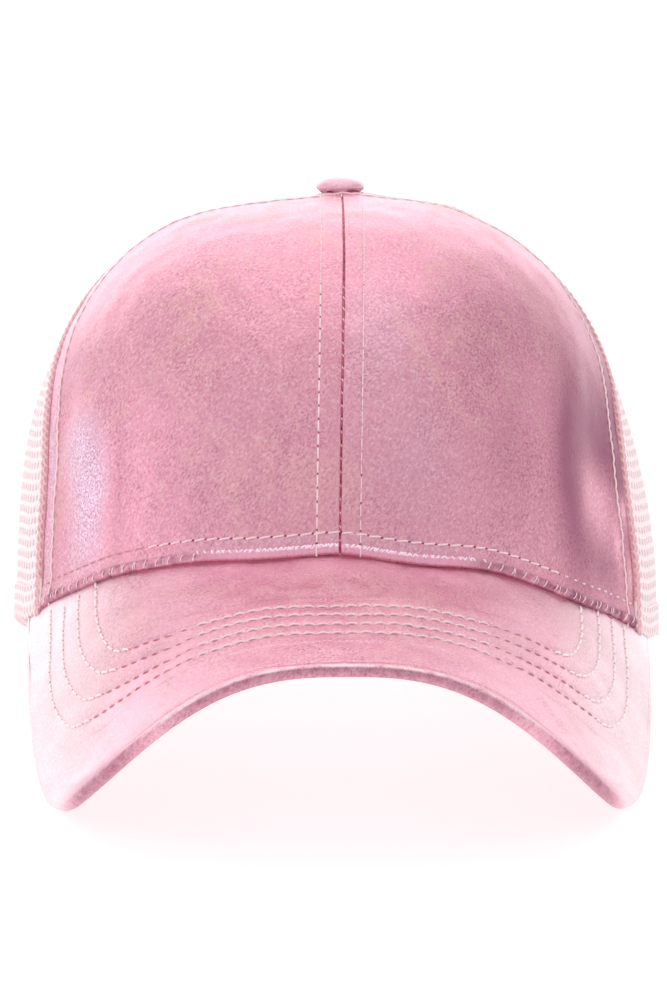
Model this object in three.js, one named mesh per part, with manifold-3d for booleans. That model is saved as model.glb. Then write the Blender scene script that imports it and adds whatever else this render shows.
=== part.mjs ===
// A trucker cap: two coated front panels, four net panels, a curved peak with a rounded edge,
// a sweatband, a covered top button, and an arched opening at the back with its binding and strap.
// Lengths are in millimetres and angles in degrees. Z is up and the wearer faces -Y.
// The cap rests on the plane z = 0, on the two corners of its peak and the back of its rim.

import * as THREE from 'three';
import { mergeVertices } from 'three/addons/utils/BufferGeometryUtils.js';
import Module from 'manifold-3d';

const crown = {
  halfWidth: 87.6,
  halfLength: 97,
  height: 118.4,
  apexBack: 4, // the top sits this far behind the middle of the rim
  tipRise: 2.2, // the panels are drawn up to the button, from this radius inwards
  tipRadius: 22,
  frontWall: 2,
  netWall: 1.2,
  frontBulge: 1.4, // how far each panel rounds out between its seams
  netBulge: 0.4,
  topHole: 3, // radius left open where the panels meet under the button
  seamGap: 0.4,
};

// The crown's profile from the rim to the top is inward^across + upward^up = 1.
const profiles = {
  front: { across: 3.1, up: 2.45 },
  side: { across: 2.95, up: 2.24 },
  back: { across: 2.4, up: 2.2 },
};

// The soft crown stands a little uneven: how far its sides and its centre seam lie to the left.
const slump = {
  sides: -1.8,
  sidesFrom: 15, // height where the sides begin to shift, and where they have shifted
  sidesUntil: 65,
  seamAtRim: -0.8,
  seamAtTop: 1.8,
  seamPower: 1.5, // above 1, the seam leans more towards the top
  sidesEndFrom: 0.5, // shares of the radius over which the sides' shift gives way to the seam's
  sidesEndAt: 0.3,
};

// Where each seam meets the rim and the top, going round from the front centre.
const seams = {
  frontCentre: { atRim: 0, atTop: 0 },
  frontSide: { atRim: 65, atTop: 89 },
  sideBack: { atRim: 122, atTop: 134 },
  backCentre: { atRim: 180, atTop: 180 },
};
const seamLean = { from: 0.14, until: 0.62 }; // shares of the climb over which a seam swings round

// Soft upright dents in the front panels, as places and sizes in shares of a panel.
const dents = [
  { side: 1, across: 0.86, width: 0.09, climb: 0.2, reach: 0.2, depth: 1.3 },
  { side: -1, across: 0.9, width: 0.08, climb: 0.24, reach: 0.22, depth: 1 },
];

const peak = {
  slope: 16.6,
  frontRise: 28.2, // height of its seam at the front centre above the rim's plane
  length: 68,
  thickness: 3.5,
  endTurn: 73, // where its ends meet the crown
  sagAt: 76, // the sags below are measured this far from the centre line
  sideSquareness: 6,
  frontSquareness: 2.54,
  taper: 0.08,
  cornerCrowding: 3, // above 1, the outline's points crowd towards its corners
};

// How the peak bends across, at its seam and at its front edge: drop = sag * (x / sagAt)^power.
const bends = {
  seam: { along: -50, sag: 31.4, power: 3.2 },
  front: { along: 40, sag: 59.8, power: 2.65 },
};

// The peak's seam is twisted down on the left, and level again from its second distance forwards.
const twist = { angle: 2, from: -20, until: 25 };

// Directions from the front centre at which the rim starts down from the peak's ends and
// from which it lies on the floor, round to the back.
const rim = { dropsFrom: 77, restsFrom: 140, abovePeak: 0.6 };

const net = {
  columns: 5,
  rows: 6,
  zigzag: 0.16, // how far the cell corners lean, as a share of a row
  open: 0.64, // width of a gap as a share of its cell
  seamBorder: 0.07, // closed strips along the seams, rim and top, as shares of the panel
  hem: 0.075,
  collar: 0.86,
};

const arch = {
  halfWidth: 39,
  spring: 12, // height at which the curve starts
  rise: 34,
  bindingWidth: 8,
  bindingProud: 0.6,
  closedNet: 7, // width of net outside the binding whose gaps stay closed
  cutBelow: 30, // how far the cut runs below the rim's plane
};

const strap = { halfSpan: 52, height: 18, wall: 1.5 };
const sweatband = { depth: 3.7, wall: 1.4, height: 30, endSpan: 54 };
const button = { radius: 6.5, height: 3.7, side: 1.4 };
// The button's profile from its base to its top, in shares of its radius and height.
const buttonProfile = [
  { out: 0, up: 0 },
  { out: 0.91, up: 0 },
  { out: 1, up: 0.14 },
  { out: 0.95, up: 0.27 },
  { out: 0.8, up: 0.62 },
  { out: 0.45, up: 0.92 },
  { out: 0, up: 1 },
];

// How many flat faces stand for each curve.
const facets = {
  frontPanel: 14,
  archCurve: 24,
  strap: { around: 24, up: 2 },
  sweatband: { around: 48, up: 3 },
  peak: { across: 40, forward: 6, edge: 4 },
  button: 24,
};
const solvingRounds = 8; // repeats with which a place on a curved face is found

const colours = {
  coated: { color: 0xd98fae, roughness: 0.38, metalness: 0.55 },
  netting: { color: 0xf0a9b6, roughness: 0.75, metalness: 0 },
  cotton: { color: 0xe9a3b4, roughness: 0.9, metalness: 0 },
  plastic: { color: 0xf0b3c0, roughness: 0.45, metalness: 0 },
};

const radians = THREE.MathUtils.degToRad;
const mix = THREE.MathUtils.lerp;
const { smoothstep } = THREE.MathUtils;
const quarterTurn = Math.PI / 2;
const slope = radians(peak.slope);

// The profile's two powers in the direction of a turn from the front centre.
function profileAt(turn) {
  const ahead = Math.max(Math.cos(turn), 0) ** 2;
  const behind = Math.max(-Math.cos(turn), 0) ** 2;
  const aside = Math.sin(turn) ** 2;
  const blend = (key) =>
    profiles.front[key] * ahead + profiles.back[key] * behind + profiles.side[key] * aside;
  return { across: blend('across'), up: blend('up') };
}

// A point of the crown's smooth outer face: turn goes round it, tilt climbs from 0 to a quarter turn.
function crownPoint(turn, tilt) {
  const { across, up } = profileAt(turn);
  const inward = Math.cos(Math.max(tilt, 0)) ** (2 / across);
  const upward = Math.sign(tilt) * Math.abs(Math.sin(tilt)) ** (2 / up);
  const nearTip = Math.max(1 - inward * crown.halfWidth / crown.tipRadius, 0);
  const height = crown.height * upward;
  return new THREE.Vector3(
    crown.halfWidth * inward * Math.sin(turn) + sidewaysShift(turn, inward, height),
    crown.apexBack * Math.max(upward, 0) - crown.halfLength * inward * Math.cos(turn),
    height + crown.tipRise * nearTip ** 2,
  );
}

// How far the slump moves a point to the left: its sides one way, its seam and top the other.
function sidewaysShift(turn, inward, height) {
  const share = Math.max(height, 0) / crown.height;
  const atSeam = mix(slump.seamAtRim, slump.seamAtTop, share ** slump.seamPower);
  const atSides = slump.sides * smoothstep(height, slump.sidesFrom, slump.sidesUntil);
  const aside = Math.sin(turn) ** 2 * smoothstep(inward, slump.sidesEndAt, slump.sidesEndFrom);
  return mix(atSeam, atSides, aside);
}

function crownNormal(turn, tilt) {
  const step = 1e-3;
  const around = crownPoint(turn + step, tilt).sub(crownPoint(turn - step, tilt));
  const climb = crownPoint(turn, tilt + step).sub(crownPoint(turn, tilt - step));
  return around.cross(climb).normalize();
}

// The tilt at which the crown is so many millimetres above the rim's plane.
function tiltAtHeight(turn, height) {
  const share = Math.min(Math.abs(height) / crown.height, 1);
  return Math.sign(height) * Math.asin(share ** (profileAt(turn).up / 2));
}

function tiltAtTop(turn) {
  return Math.acos((crown.topHole / crown.halfWidth) ** (profileAt(turn).across / 2));
}

// How the peak's surface drops across at a distance along it from the front seam.
function peakDrop(x, along) {
  const share = smoothstep(along, bends.seam.along, bends.front.along);
  const sag = mix(bends.seam.sag, bends.front.sag, share);
  const power = mix(bends.seam.power, bends.front.power, share);
  const level = smoothstep(along, twist.from, twist.until);
  const leftDrop = x * Math.tan(radians(twist.angle)) * (1 - level);
  return sag * (Math.abs(x) / peak.sagAt) ** power + leftDrop;
}

function peakPoint(x, along) {
  const drop = peakDrop(x, along);
  return new THREE.Vector3(
    x,
    -crown.halfLength - along * Math.cos(slope) + drop * Math.sin(slope),
    peak.frontRise - along * Math.sin(slope) - drop * Math.cos(slope),
  );
}

function peakNormal(x, along) {
  const step = 0.05;
  const across = peakPoint(x + step, along).sub(peakPoint(x - step, along));
  const forward = peakPoint(x, along + step).sub(peakPoint(x, along - step));
  return forward.cross(across).normalize();
}

// The distance along the peak at which its surface passes over a plan position.
function alongPeak(x, y) {
  let along = 0;
  for (let round = 0; round < solvingRounds; round += 1) {
    along = (peakDrop(x, along) * Math.sin(slope) - crown.halfLength - y) / Math.cos(slope);
  }
  return along;
}

// One of the two ends of the peak's outline, on the left at 1 and on the right at -1.
function peakEnd(side) {
  const { x, y } = crownPoint(side * radians(peak.endTurn), 0);
  return { x, y, along: alongPeak(x, y) };
}
const peakEnds = { left: peakEnd(1), right: peakEnd(-1) };

// The peak's outline, from its right end at -1 through the front centre at 0 to its left end at 1.
function peakOutline(share) {
  const end = share < 0 ? peakEnds.right : peakEnds.left;
  const swing = quarterTurn * (1 - Math.sin(Math.abs(share) * quarterTurn) ** peak.cornerCrowding);
  const side = Math.cos(swing) ** (2 / peak.sideSquareness);
  const reach = Math.sin(swing) ** (2 / peak.frontSquareness);
  const narrowing = 1 - peak.taper * Math.sin(swing) ** 2;
  return {
    x: end.x * side * narrowing,
    along: mix(end.along, peak.length, reach),
  };
}

// The floor under the leaning cap, in the crown's own frame.
function floorHeight(y) {
  return (y - crown.halfLength) * Math.tan(tiltBack);
}

// The height of the crown's lower edge over a plan position: on the peak, then down to the floor.
function rimHeight(turn, x, y) {
  const away = Math.abs(turn);
  const onPeak = (px, py) => peakPoint(px, alongPeak(px, py)).z + rim.abovePeak;
  if (away <= radians(peak.endTurn)) return onPeak(x, y);
  const end = turn < 0 ? peakEnds.right : peakEnds.left;
  const inward = Math.hypot(x / crown.halfWidth, y / crown.halfLength);
  const share = smoothstep(away, radians(rim.dropsFrom), radians(rim.restsFrom));
  return mix(onPeak(end.x * inward, end.y * inward), floorHeight(y), share);
}

function tiltAtRim(turn) {
  let tilt = 0;
  for (let round = 0; round < solvingRounds; round += 1) {
    const { x, y } = crownPoint(turn, tilt);
    tilt = tiltAtHeight(turn, rimHeight(turn, x, y));
  }
  return tilt;
}

// A closed solid between two equal grids of points, the second one behind the first.
function plateBetween(front, back, facing = 1) {
  const rows = front.length;
  const columns = front[0].length;
  const points = [...front.flat(), ...back.flat()];
  const behind = rows * columns;
  const at = (row, column) => row * columns + column;
  const index = [];
  const quad = (a, b, c, d) => {
    if (facing > 0) index.push(a, b, c, a, c, d);
    else index.push(a, c, b, a, d, c);
  };
  for (let r = 0; r + 1 < rows; r += 1) {
    for (let c = 0; c + 1 < columns; c += 1) {
      quad(at(r, c), at(r, c + 1), at(r + 1, c + 1), at(r + 1, c));
      quad(behind + at(r, c), behind + at(r + 1, c), behind + at(r + 1, c + 1), behind + at(r, c + 1));
    }
  }
  const edge = (a, b) => quad(a, behind + a, behind + b, b);
  for (let c = 0; c + 1 < columns; c += 1) {
    edge(at(0, c), at(0, c + 1));
    edge(at(rows - 1, c + 1), at(rows - 1, c));
  }
  for (let r = 0; r + 1 < rows; r += 1) {
    edge(at(r + 1, 0), at(r, 0));
    edge(at(r, columns - 1), at(r + 1, columns - 1));
  }
  return geometryFrom(points, index);
}

function geometryFrom(points, index) {
  const positions = new Float32Array(points.flatMap((p) => [p.x, p.y, p.z]));
  return new THREE.BufferGeometry()
    .setAttribute('position', new THREE.BufferAttribute(positions, 3))
    .setIndex(index);
}

// A grid of points made by a function of two shares, one for its columns and one for its rows.
function gridOf(columnShares, rowShares, pointAt) {
  return rowShares.map((climb) => columnShares.map((across) => pointAt(across, climb)));
}

function evenly(steps) {
  return Array.from({ length: steps + 1 }, (_, i) => i / steps);
}

// Every panel has its points at the same steps up its seams: one at the rim, two to each row of
// the net's gaps, and two more above them.
const climbSteps = { rim: -1, top: net.rows * 2 + 2 };

function climbOf(step) {
  const collarStep = net.rows * 2;
  if (step < 0) return 0;
  if (step > collarStep) return mix(net.collar, 1, (step - collarStep) / 2);
  return mix(net.hem, net.collar, step / collarStep);
}

function seamTurn(seam, climb) {
  return radians(mix(seam.atRim, seam.atTop, smoothstep(climb, seamLean.from, seamLean.until)));
}

// How deep the dents are at a place in a front panel.
function dentDepth(side, across, climb) {
  return dents
    .filter((dent) => dent.side === side)
    .map((dent) => dent.depth
      * Math.exp(-(((across - dent.across) / dent.width) ** 2))
      * Math.exp(-(((climb - dent.climb) / dent.reach) ** 2)))
    .reduce((sum, depth) => sum + depth, 0);
}

// One point of a panel between two seams: across and climb go from 0 to 1, depth is into the wall.
function panelPoint(fromSeam, toSeam, side, across, climb, depth) {
  const rimTurn = side * radians(mix(fromSeam.atRim, toSeam.atRim, across));
  const tilt = mix(tiltAtRim(rimTurn), tiltAtTop(rimTurn), climb);
  const step = 1e-3;
  const perRadian = (turn) => crownPoint(turn + step, tilt).distanceTo(crownPoint(turn, tilt)) / step;
  const start = seamTurn(fromSeam, climb);
  const end = seamTurn(toSeam, climb);
  const turn = side * mix(
    start + crown.seamGap / 2 / perRadian(side * start),
    end - crown.seamGap / 2 / perRadian(side * end),
    across,
  );
  const isFront = fromSeam === seams.frontCentre;
  const fullness = isFront ? crown.frontBulge : crown.netBulge;
  const bulge = fullness * Math.sin(Math.PI * across) * Math.sin(Math.PI * climb);
  const dent = isFront ? dentDepth(side, across, climb) : 0;
  const point = crownPoint(turn, tilt);
  point.addScaledVector(crownNormal(turn, tilt), bulge - dent - depth);
  if (climb === 0) point.z = rimHeight(turn, point.x, point.y);
  return point;
}

function frontPanel(side) {
  const climbs = [];
  for (let step = climbSteps.rim; step <= climbSteps.top; step += 1) climbs.push(climbOf(step));
  const skin = (depth) => gridOf(evenly(facets.frontPanel), climbs, (across, climb) =>
    panelPoint(seams.frontCentre, seams.frontSide, side, across, climb, depth));
  return plateBetween(skin(0), skin(crown.frontWall), side);
}

// A net panel: a honeycomb of closed ribs round six-sided gaps, with closed strips along its edges.
// Gaps that would touch the arched opening stay closed.
function netPanel(fromSeam, toSeam, side) {
  const halfCells = net.columns * 2;
  const stops = [0];
  for (let k = 0; k <= halfCells; k += 1) {
    stops.push(mix(net.seamBorder, 1 - net.seamBorder, k / halfCells));
  }
  stops.push(1);
  const shareAt = (step, column) => {
    const edge = column < 0 || column > halfCells || step <= 0 || step >= net.rows * 2 || step % 2 !== 0;
    const lean = (column + step / 2) % 2 === 0 ? net.zigzag * 2 : -net.zigzag * 2;
    return { across: stops[column + 1], climb: climbOf(edge ? step : step + lean) };
  };

  const points = [];
  const index = [];
  const quad = (a, b, c, d) => {
    if (side > 0) index.push(a, b, c, a, c, d);
    else index.push(a, c, b, a, d, c);
  };
  // Each share of the panel becomes a front point and, right after it, a back point.
  const addPoint = ({ across, climb }) => {
    points.push(panelPoint(fromSeam, toSeam, side, across, climb, 0));
    points.push(panelPoint(fromSeam, toSeam, side, across, climb, crown.netWall));
    return points.length - 2;
  };
  const skins = (a, b, c, d) => {
    quad(a, b, c, d);
    quad(a + 1, d + 1, c + 1, b + 1);
  };
  const wall = (a, b) => quad(a, a + 1, b + 1, b);

  const corners = new Map();
  const corner = (step, column) => {
    const key = `${step} ${column}`;
    if (!corners.has(key)) corners.set(key, addPoint(shareAt(step, column)));
    return corners.get(key);
  };

  const closedCell = (step, column) => skins(
    corner(step, column),
    corner(step, column + 1),
    corner(step + 1, column + 1),
    corner(step + 1, column),
  );
  // A gap is two columns wide and two steps high, with eight corners.
  const openCell = (step, column) => {
    const ring = [[0, 0], [0, 1], [0, 2], [1, 2], [2, 2], [2, 1], [2, 0], [1, 0]]
      .map(([up, along]) => [step + up, column + along]);
    const shares = ring.map(([s, c]) => shareAt(s, c));
    const middle = {
      across: shares.reduce((sum, share) => sum + share.across, 0) / ring.length,
      climb: shares.reduce((sum, share) => sum + share.climb, 0) / ring.length,
    };
    if (nearArch(panelPoint(fromSeam, toSeam, side, middle.across, middle.climb, 0))) {
      for (const [up, along] of [[0, 0], [0, 1], [1, 0], [1, 1]]) closedCell(step + up, column + along);
      return;
    }
    const inner = shares.map((share) => addPoint({
      across: mix(middle.across, share.across, net.open),
      climb: mix(middle.climb, share.climb, net.open),
    }));
    ring.forEach((place, i) => {
      const next = (i + 1) % ring.length;
      skins(corner(...place), corner(...ring[next]), inner[next], inner[i]);
      wall(inner[next], inner[i]);
    });
  };

  const columns = { first: -1, last: halfCells + 1 };
  for (let row = 0; row < net.rows; row += 1) {
    const step = row * 2;
    // Each row is half a gap on from the last, and the right side's rows from the left's.
    const firstGap = (side > 0 ? row : row + 1) % 2;
    let column = columns.first;
    while (column < columns.last) {
      if (column >= firstGap && column + 2 <= halfCells) {
        openCell(step, column);
        column += 2;
      } else {
        closedCell(step, column);
        closedCell(step + 1, column);
        column += 1;
      }
    }
  }
  for (const step of [climbSteps.rim, net.rows * 2, climbSteps.top - 1]) {
    for (let column = columns.first; column < columns.last; column += 1) closedCell(step, column);
  }
  for (let column = columns.first; column < columns.last; column += 1) {
    wall(corner(climbSteps.rim, column), corner(climbSteps.rim, column + 1));
    wall(corner(climbSteps.top, column + 1), corner(climbSteps.top, column));
  }
  for (let step = climbSteps.rim; step < climbSteps.top; step += 1) {
    wall(corner(step + 1, columns.first), corner(step, columns.first));
    wall(corner(step, columns.last), corner(step + 1, columns.last));
  }
  return geometryFrom(points, index);
}

// The arched opening at the back, in the plane seen from behind, grown outwards by some millimetres.
function archEdge(share, grown) {
  const swing = Math.PI * share;
  return {
    x: (arch.halfWidth + grown) * Math.cos(swing),
    z: arch.spring + (arch.rise + grown) * Math.sin(swing),
  };
}

function nearArch(point) {
  const clearance = arch.bindingWidth + arch.closedNet;
  if (point.y < 0) return false;
  const reach = Math.max(point.z - arch.spring, 0) / (arch.rise + clearance);
  return Math.hypot(point.x / (arch.halfWidth + clearance), reach) < 1;
}

// The point of the crown's outer face at a given place in the back view, moved into the wall.
function backPoint(x, height, depth) {
  let turn = Math.PI;
  let tilt = 0;
  for (let round = 0; round < solvingRounds; round += 1) {
    tilt = tiltAtHeight(turn, height);
    turn -= (x - crownPoint(turn, tilt).x) / crown.halfWidth;
  }
  return crownPoint(turn, tilt).addScaledVector(crownNormal(turn, tilt), -depth);
}

function onFloor(point) {
  point.z = floorHeight(point.y);
  return point;
}

function archBinding() {
  const ring = (grown, depth) => {
    const foot = (sign) => onFloor(backPoint(sign * (arch.halfWidth + grown), 0, depth));
    const curve = evenly(facets.archCurve).map((share) => {
      const { x, z } = archEdge(share, grown);
      return backPoint(x, z, depth);
    });
    return [foot(1), ...curve, foot(-1)];
  };
  const skin = (depth) => [ring(0, depth), ring(arch.bindingWidth / 2, depth), ring(arch.bindingWidth, depth)];
  return plateBetween(skin(-arch.bindingProud), skin(crown.netWall));
}

function backStrap() {
  const { around, up } = facets.strap;
  const skin = (depth) => gridOf(evenly(around), evenly(up), (across, climb) => {
    const point = onFloor(backPoint(mix(strap.halfSpan, -strap.halfSpan, across), 0, depth));
    point.z += climb * strap.height;
    return point;
  });
  const outer = crown.netWall + crown.seamGap;
  return plateBetween(skin(outer), skin(outer + strap.wall));
}

function sweatbandBand() {
  const endTurn = Math.PI - Math.asin(sweatband.endSpan / crown.halfWidth);
  const { around, up } = facets.sweatband;
  const skin = (depth) => gridOf(evenly(around), evenly(up), (across, climb) => {
    const turn = mix(-endTurn, endTurn, across);
    const low = tiltAtRim(turn);
    const rise = crownPoint(turn, low).z + climb * sweatband.height;
    const tilt = tiltAtHeight(turn, rise);
    const point = crownPoint(turn, tilt).addScaledVector(crownNormal(turn, tilt), -depth);
    if (climb === 0) point.z = rimHeight(turn, point.x, point.y) + crown.seamGap;
    return point;
  });
  return plateBetween(skin(sweatband.depth), skin(sweatband.depth + sweatband.wall));
}

// The peak is a bent plate whose outer edge is round and whose inner edge follows the crown's wall.
function peakPlate() {
  const { across: columns, forward: rows, edge: roundSteps } = facets.peak;
  const half = peak.thickness / 2;
  const skin = { top: [], under: [] };
  for (let r = 0; r <= rows; r += 1) {
    skin.top.push([]);
    skin.under.push([]);
  }
  const edgeRows = Array.from({ length: roundSteps - 1 }, () => []);
  for (let c = 0; c <= columns; c += 1) {
    const share = mix(-1, 1, c / columns);
    const turn = share * radians(peak.endTurn);
    const wallTilt = tiltAtRim(turn);
    const seat = crownPoint(turn, wallTilt)
      .addScaledVector(crownNormal(turn, wallTilt), -crown.frontWall - crown.seamGap);
    const inner = { x: seat.x, along: alongPeak(seat.x, seat.y) };
    const outer = peakOutline(share);
    const step = 1e-3;
    const before = peakOutline(Math.max(share - step, -1));
    const after = peakOutline(Math.min(share + step, 1));
    const tangent = peakPoint(after.x, after.along).sub(peakPoint(before.x, before.along)).normalize();
    const upward = peakNormal(outer.x, outer.along);
    const outward = tangent.clone().cross(upward).normalize();
    const centre = peakPoint(outer.x, outer.along)
      .addScaledVector(upward, -half)
      .addScaledVector(outward, -half);
    const roundPoint = (swing) => centre.clone()
      .addScaledVector(upward, half * Math.cos(swing))
      .addScaledVector(outward, half * Math.sin(swing));
    for (let r = 0; r < rows; r += 1) {
      const forward = r / rows;
      const x = mix(inner.x, outer.x, forward);
      const along = mix(inner.along, outer.along, forward);
      const top = peakPoint(x, along);
      skin.top[r].push(top);
      skin.under[r].push(top.clone().addScaledVector(peakNormal(x, along), -peak.thickness));
    }
    skin.top[rows].push(roundPoint(0));
    skin.under[rows].push(roundPoint(Math.PI));
    edgeRows.forEach((row, i) => row.push(roundPoint(Math.PI * (i + 1) / roundSteps)));
  }
  // The grid runs over the top, round the edge and back along the underside, then closes on itself.
  const loop = [...skin.top, ...edgeRows, ...skin.under.reverse()];
  return closedLoop(loop);
}

// A solid whose rows form a closed section, with flat caps over its first and last columns.
// The number of rows is odd: each row but the middle one has another across from it.
function closedLoop(rows) {
  const columns = rows[0].length;
  const last = columns - 1;
  const middle = (rows.length - 1) / 2;
  const index = [];
  rows.forEach((_, r) => {
    const here = r * columns;
    const next = ((r + 1) % rows.length) * columns;
    for (let c = 0; c < last; c += 1) {
      index.push(here + c, next + c, next + c + 1, here + c, next + c + 1, here + c + 1);
    }
  });
  for (let r = 0; r < middle; r += 1) {
    const [a, b] = [r * columns, (r + 1) * columns];
    const [c, d] = [(rows.length - 2 - r) * columns, (rows.length - 1 - r) * columns];
    index.push(a, d, c, a + last, c + last, d + last);
    if (b !== c) index.push(a, c, b, a + last, b + last, c + last);
  }
  return geometryFrom(rows.flat(), index);
}

function topButton() {
  const profile = buttonProfile.map(({ out, up }) =>
    new THREE.Vector2(out * button.radius, up * button.height));
  const geometry = new THREE.LatheGeometry(profile, facets.button);
  geometry.rotateX(quarterTurn);
  return geometry;
}

const wasm = await Module();
wasm.setup();

function solidOf(geometry) {
  const bare = geometry.clone();
  bare.deleteAttribute('normal');
  bare.deleteAttribute('uv');
  const merged = mergeVertices(bare, 1e-4);
  return new wasm.Manifold(new wasm.Mesh({
    numProp: 3,
    vertProperties: merged.attributes.position.array,
    triVerts: new Uint32Array(merged.index.array),
  }));
}

function geometryOf(solid) {
  const { vertProperties, triVerts } = solid.getMesh();
  return new THREE.BufferGeometry()
    .setAttribute('position', new THREE.BufferAttribute(vertProperties, 3))
    .setIndex(new THREE.BufferAttribute(triVerts, 1));
}

// Cuts the arched opening, and the room that its binding takes, out of a back panel.
function withArchCut(panel) {
  const grown = arch.bindingWidth + crown.seamGap;
  const outline = new THREE.Shape();
  outline.moveTo(arch.halfWidth + grown, -arch.cutBelow);
  for (const share of evenly(facets.archCurve)) {
    const { x, z } = archEdge(share, grown);
    outline.lineTo(x, z);
  }
  outline.lineTo(-arch.halfWidth - grown, -arch.cutBelow);
  const cutter = new THREE.ExtrudeGeometry(outline, { depth: crown.halfLength, bevelEnabled: false });
  cutter.rotateX(quarterTurn);
  // The cutter starts halfway to the back and runs out through the back wall.
  cutter.translate(0, crown.halfLength * 3 / 2, 0);
  return geometryOf(solidOf(panel).subtract(solidOf(cutter)));
}

// The tilt at which the cap stands on the back of its rim and the lowest points of its peak.
function restTilt(geometry) {
  const { position } = geometry.attributes;
  let steepest = 0;
  for (let i = 0; i < position.count; i += 1) {
    const reach = crown.halfLength - position.getY(i);
    steepest = Math.max(steepest, Math.atan2(-position.getZ(i), reach));
  }
  return steepest;
}

const peakGeometry = peakPlate();
const tiltBack = restTilt(peakGeometry);

const cap = new THREE.Group();

function addPiece(name, geometry, colour) {
  const piece = new THREE.Mesh(geometry, new THREE.MeshStandardMaterial(colour));
  piece.name = name;
  cap.add(piece);
  return piece;
}

for (const [hand, side] of [['left', 1], ['right', -1]]) {
  addPiece(`front_panel_${hand}`, frontPanel(side), colours.coated);
  addPiece(`net_side_${hand}`, netPanel(seams.frontSide, seams.sideBack, side), colours.netting);
  const back = netPanel(seams.sideBack, seams.backCentre, side);
  addPiece(`net_back_${hand}`, withArchCut(back), colours.netting);
}
addPiece('peak', peakGeometry, colours.coated);
addPiece('sweatband', sweatbandBand(), colours.cotton);
addPiece('arch_binding', archBinding(), colours.cotton);
addPiece('back_strap', backStrap(), colours.plastic);
const buttonPiece = addPiece('top_button', topButton(), colours.coated);
buttonPiece.position.set(button.side, crown.apexBack, crown.height + crown.tipRise);

// The cap leans back until it stands on the floor, and its box is centred over the origin.
cap.rotation.x = -tiltBack;
cap.updateMatrixWorld(true);
const box = new THREE.Box3().setFromObject(cap, true);
cap.position.set(0, -(box.min.y + box.max.y) / 2, crown.halfLength * Math.sin(tiltBack));

const object = new THREE.Group();
object.add(cap);

export default object;
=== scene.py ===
# Trucker cap in pink coated leather with a net back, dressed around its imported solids.
# Places on the cap are worked out in millimetres in the cap's own frame, as its solids are:
# x to the wearer's left, y to the back, z up from the rim. toWorld turns them into metres.
import math

import bmesh
import bpy
import numpy as np
from mathutils import Matrix, Vector
from mathutils.kdtree import KDTree


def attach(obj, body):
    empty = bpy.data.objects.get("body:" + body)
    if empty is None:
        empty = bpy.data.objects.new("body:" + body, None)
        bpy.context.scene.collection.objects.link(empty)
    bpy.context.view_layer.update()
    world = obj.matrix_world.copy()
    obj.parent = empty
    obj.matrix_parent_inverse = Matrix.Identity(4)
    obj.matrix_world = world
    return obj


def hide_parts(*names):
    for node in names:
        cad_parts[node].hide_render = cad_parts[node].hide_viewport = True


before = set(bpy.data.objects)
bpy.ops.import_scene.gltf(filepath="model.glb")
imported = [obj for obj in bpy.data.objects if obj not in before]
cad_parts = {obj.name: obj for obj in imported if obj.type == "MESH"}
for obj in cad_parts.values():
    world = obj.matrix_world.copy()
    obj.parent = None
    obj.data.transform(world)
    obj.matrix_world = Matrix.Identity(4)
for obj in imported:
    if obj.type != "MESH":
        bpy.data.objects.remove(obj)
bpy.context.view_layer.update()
body = "root"
print("frame loaded:", len(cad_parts), "nodes")

crown = {
    "halfWidth": 87.6,
    "halfLength": 97,
    "height": 118.4,
    "apexBack": 4,
    "tipRise": 2.2,
    "tipRadius": 22,
    "frontWall": 2,
    "netWall": 1.2,
    "frontBulge": 1.4,
    "netBulge": 0.4,
    "topHole": 3,
    "seamGap": 0.4,
    "leanBack": 9.8743,  # degrees it leans back where it rests
    "placeBack": 28.8209,
}
profiles = {
    "front": {"across": 3.1, "up": 2.45},
    "side": {"across": 2.95, "up": 2.24},
    "back": {"across": 2.4, "up": 2.2},
}
slump = {
    "sides": -1.8,
    "sidesFrom": 15,
    "sidesUntil": 65,
    "seamAtRim": -0.8,
    "seamAtTop": 1.8,
    "seamPower": 1.5,
    "sidesEndFrom": 0.5,
    "sidesEndAt": 0.3,
}
seams = {
    "frontCentre": {"atRim": 0, "atTop": 0},
    "frontSide": {"atRim": 65, "atTop": 89},
    "sideBack": {"atRim": 122, "atTop": 134},
    "backCentre": {"atRim": 180, "atTop": 180},
}
seamLean = {"start": 0.14, "end": 0.62}
dents = [
    {"side": 1, "across": 0.86, "width": 0.09, "climb": 0.2, "reach": 0.2, "depth": 1.3},
    {"side": -1, "across": 0.9, "width": 0.08, "climb": 0.24, "reach": 0.22, "depth": 1},
]
peak = {
    "slope": 16.6,
    "frontRise": 28.2,
    "length": 68,
    "thickness": 3.5,
    "endTurn": 73,
    "sagAt": 76,
    "sideSquareness": 6,
    "frontSquareness": 2.54,
    "taper": 0.08,
    "cornerCrowding": 3,
}
bends = {
    "seam": {"along": -50, "sag": 31.4, "power": 3.2},
    "front": {"along": 40, "sag": 59.8, "power": 2.65},
}
twist = {"angle": 2, "start": -20, "end": 25}
rim = {"dropsFrom": 77, "restsFrom": 140, "abovePeak": 0.6}
arch = {"halfWidth": 39, "spring": 12, "rise": 34, "bindingWidth": 8}
solvingRounds = 8
smallTurn = 1e-3
leanBack = math.radians(crown["leanBack"])
slope = math.radians(peak["slope"])


def mix(first, last, share):
    return first + (last - first) * share


def smoothstep(value, start, end):
    share = np.clip((value - start) / (end - start), 0, 1)
    return share * share * (3 - 2 * share)


def fade(value, start, end):
    return 1 - smoothstep(value, start, end)


def peaked(value, middle, width):
    return np.exp(-(((value - middle) / width) ** 2))


def lengthOf(vectors):
    return np.linalg.norm(vectors, axis=-1)


def unit(vectors):
    return vectors / np.maximum(lengthOf(vectors), 1e-9)[..., None]


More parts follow.
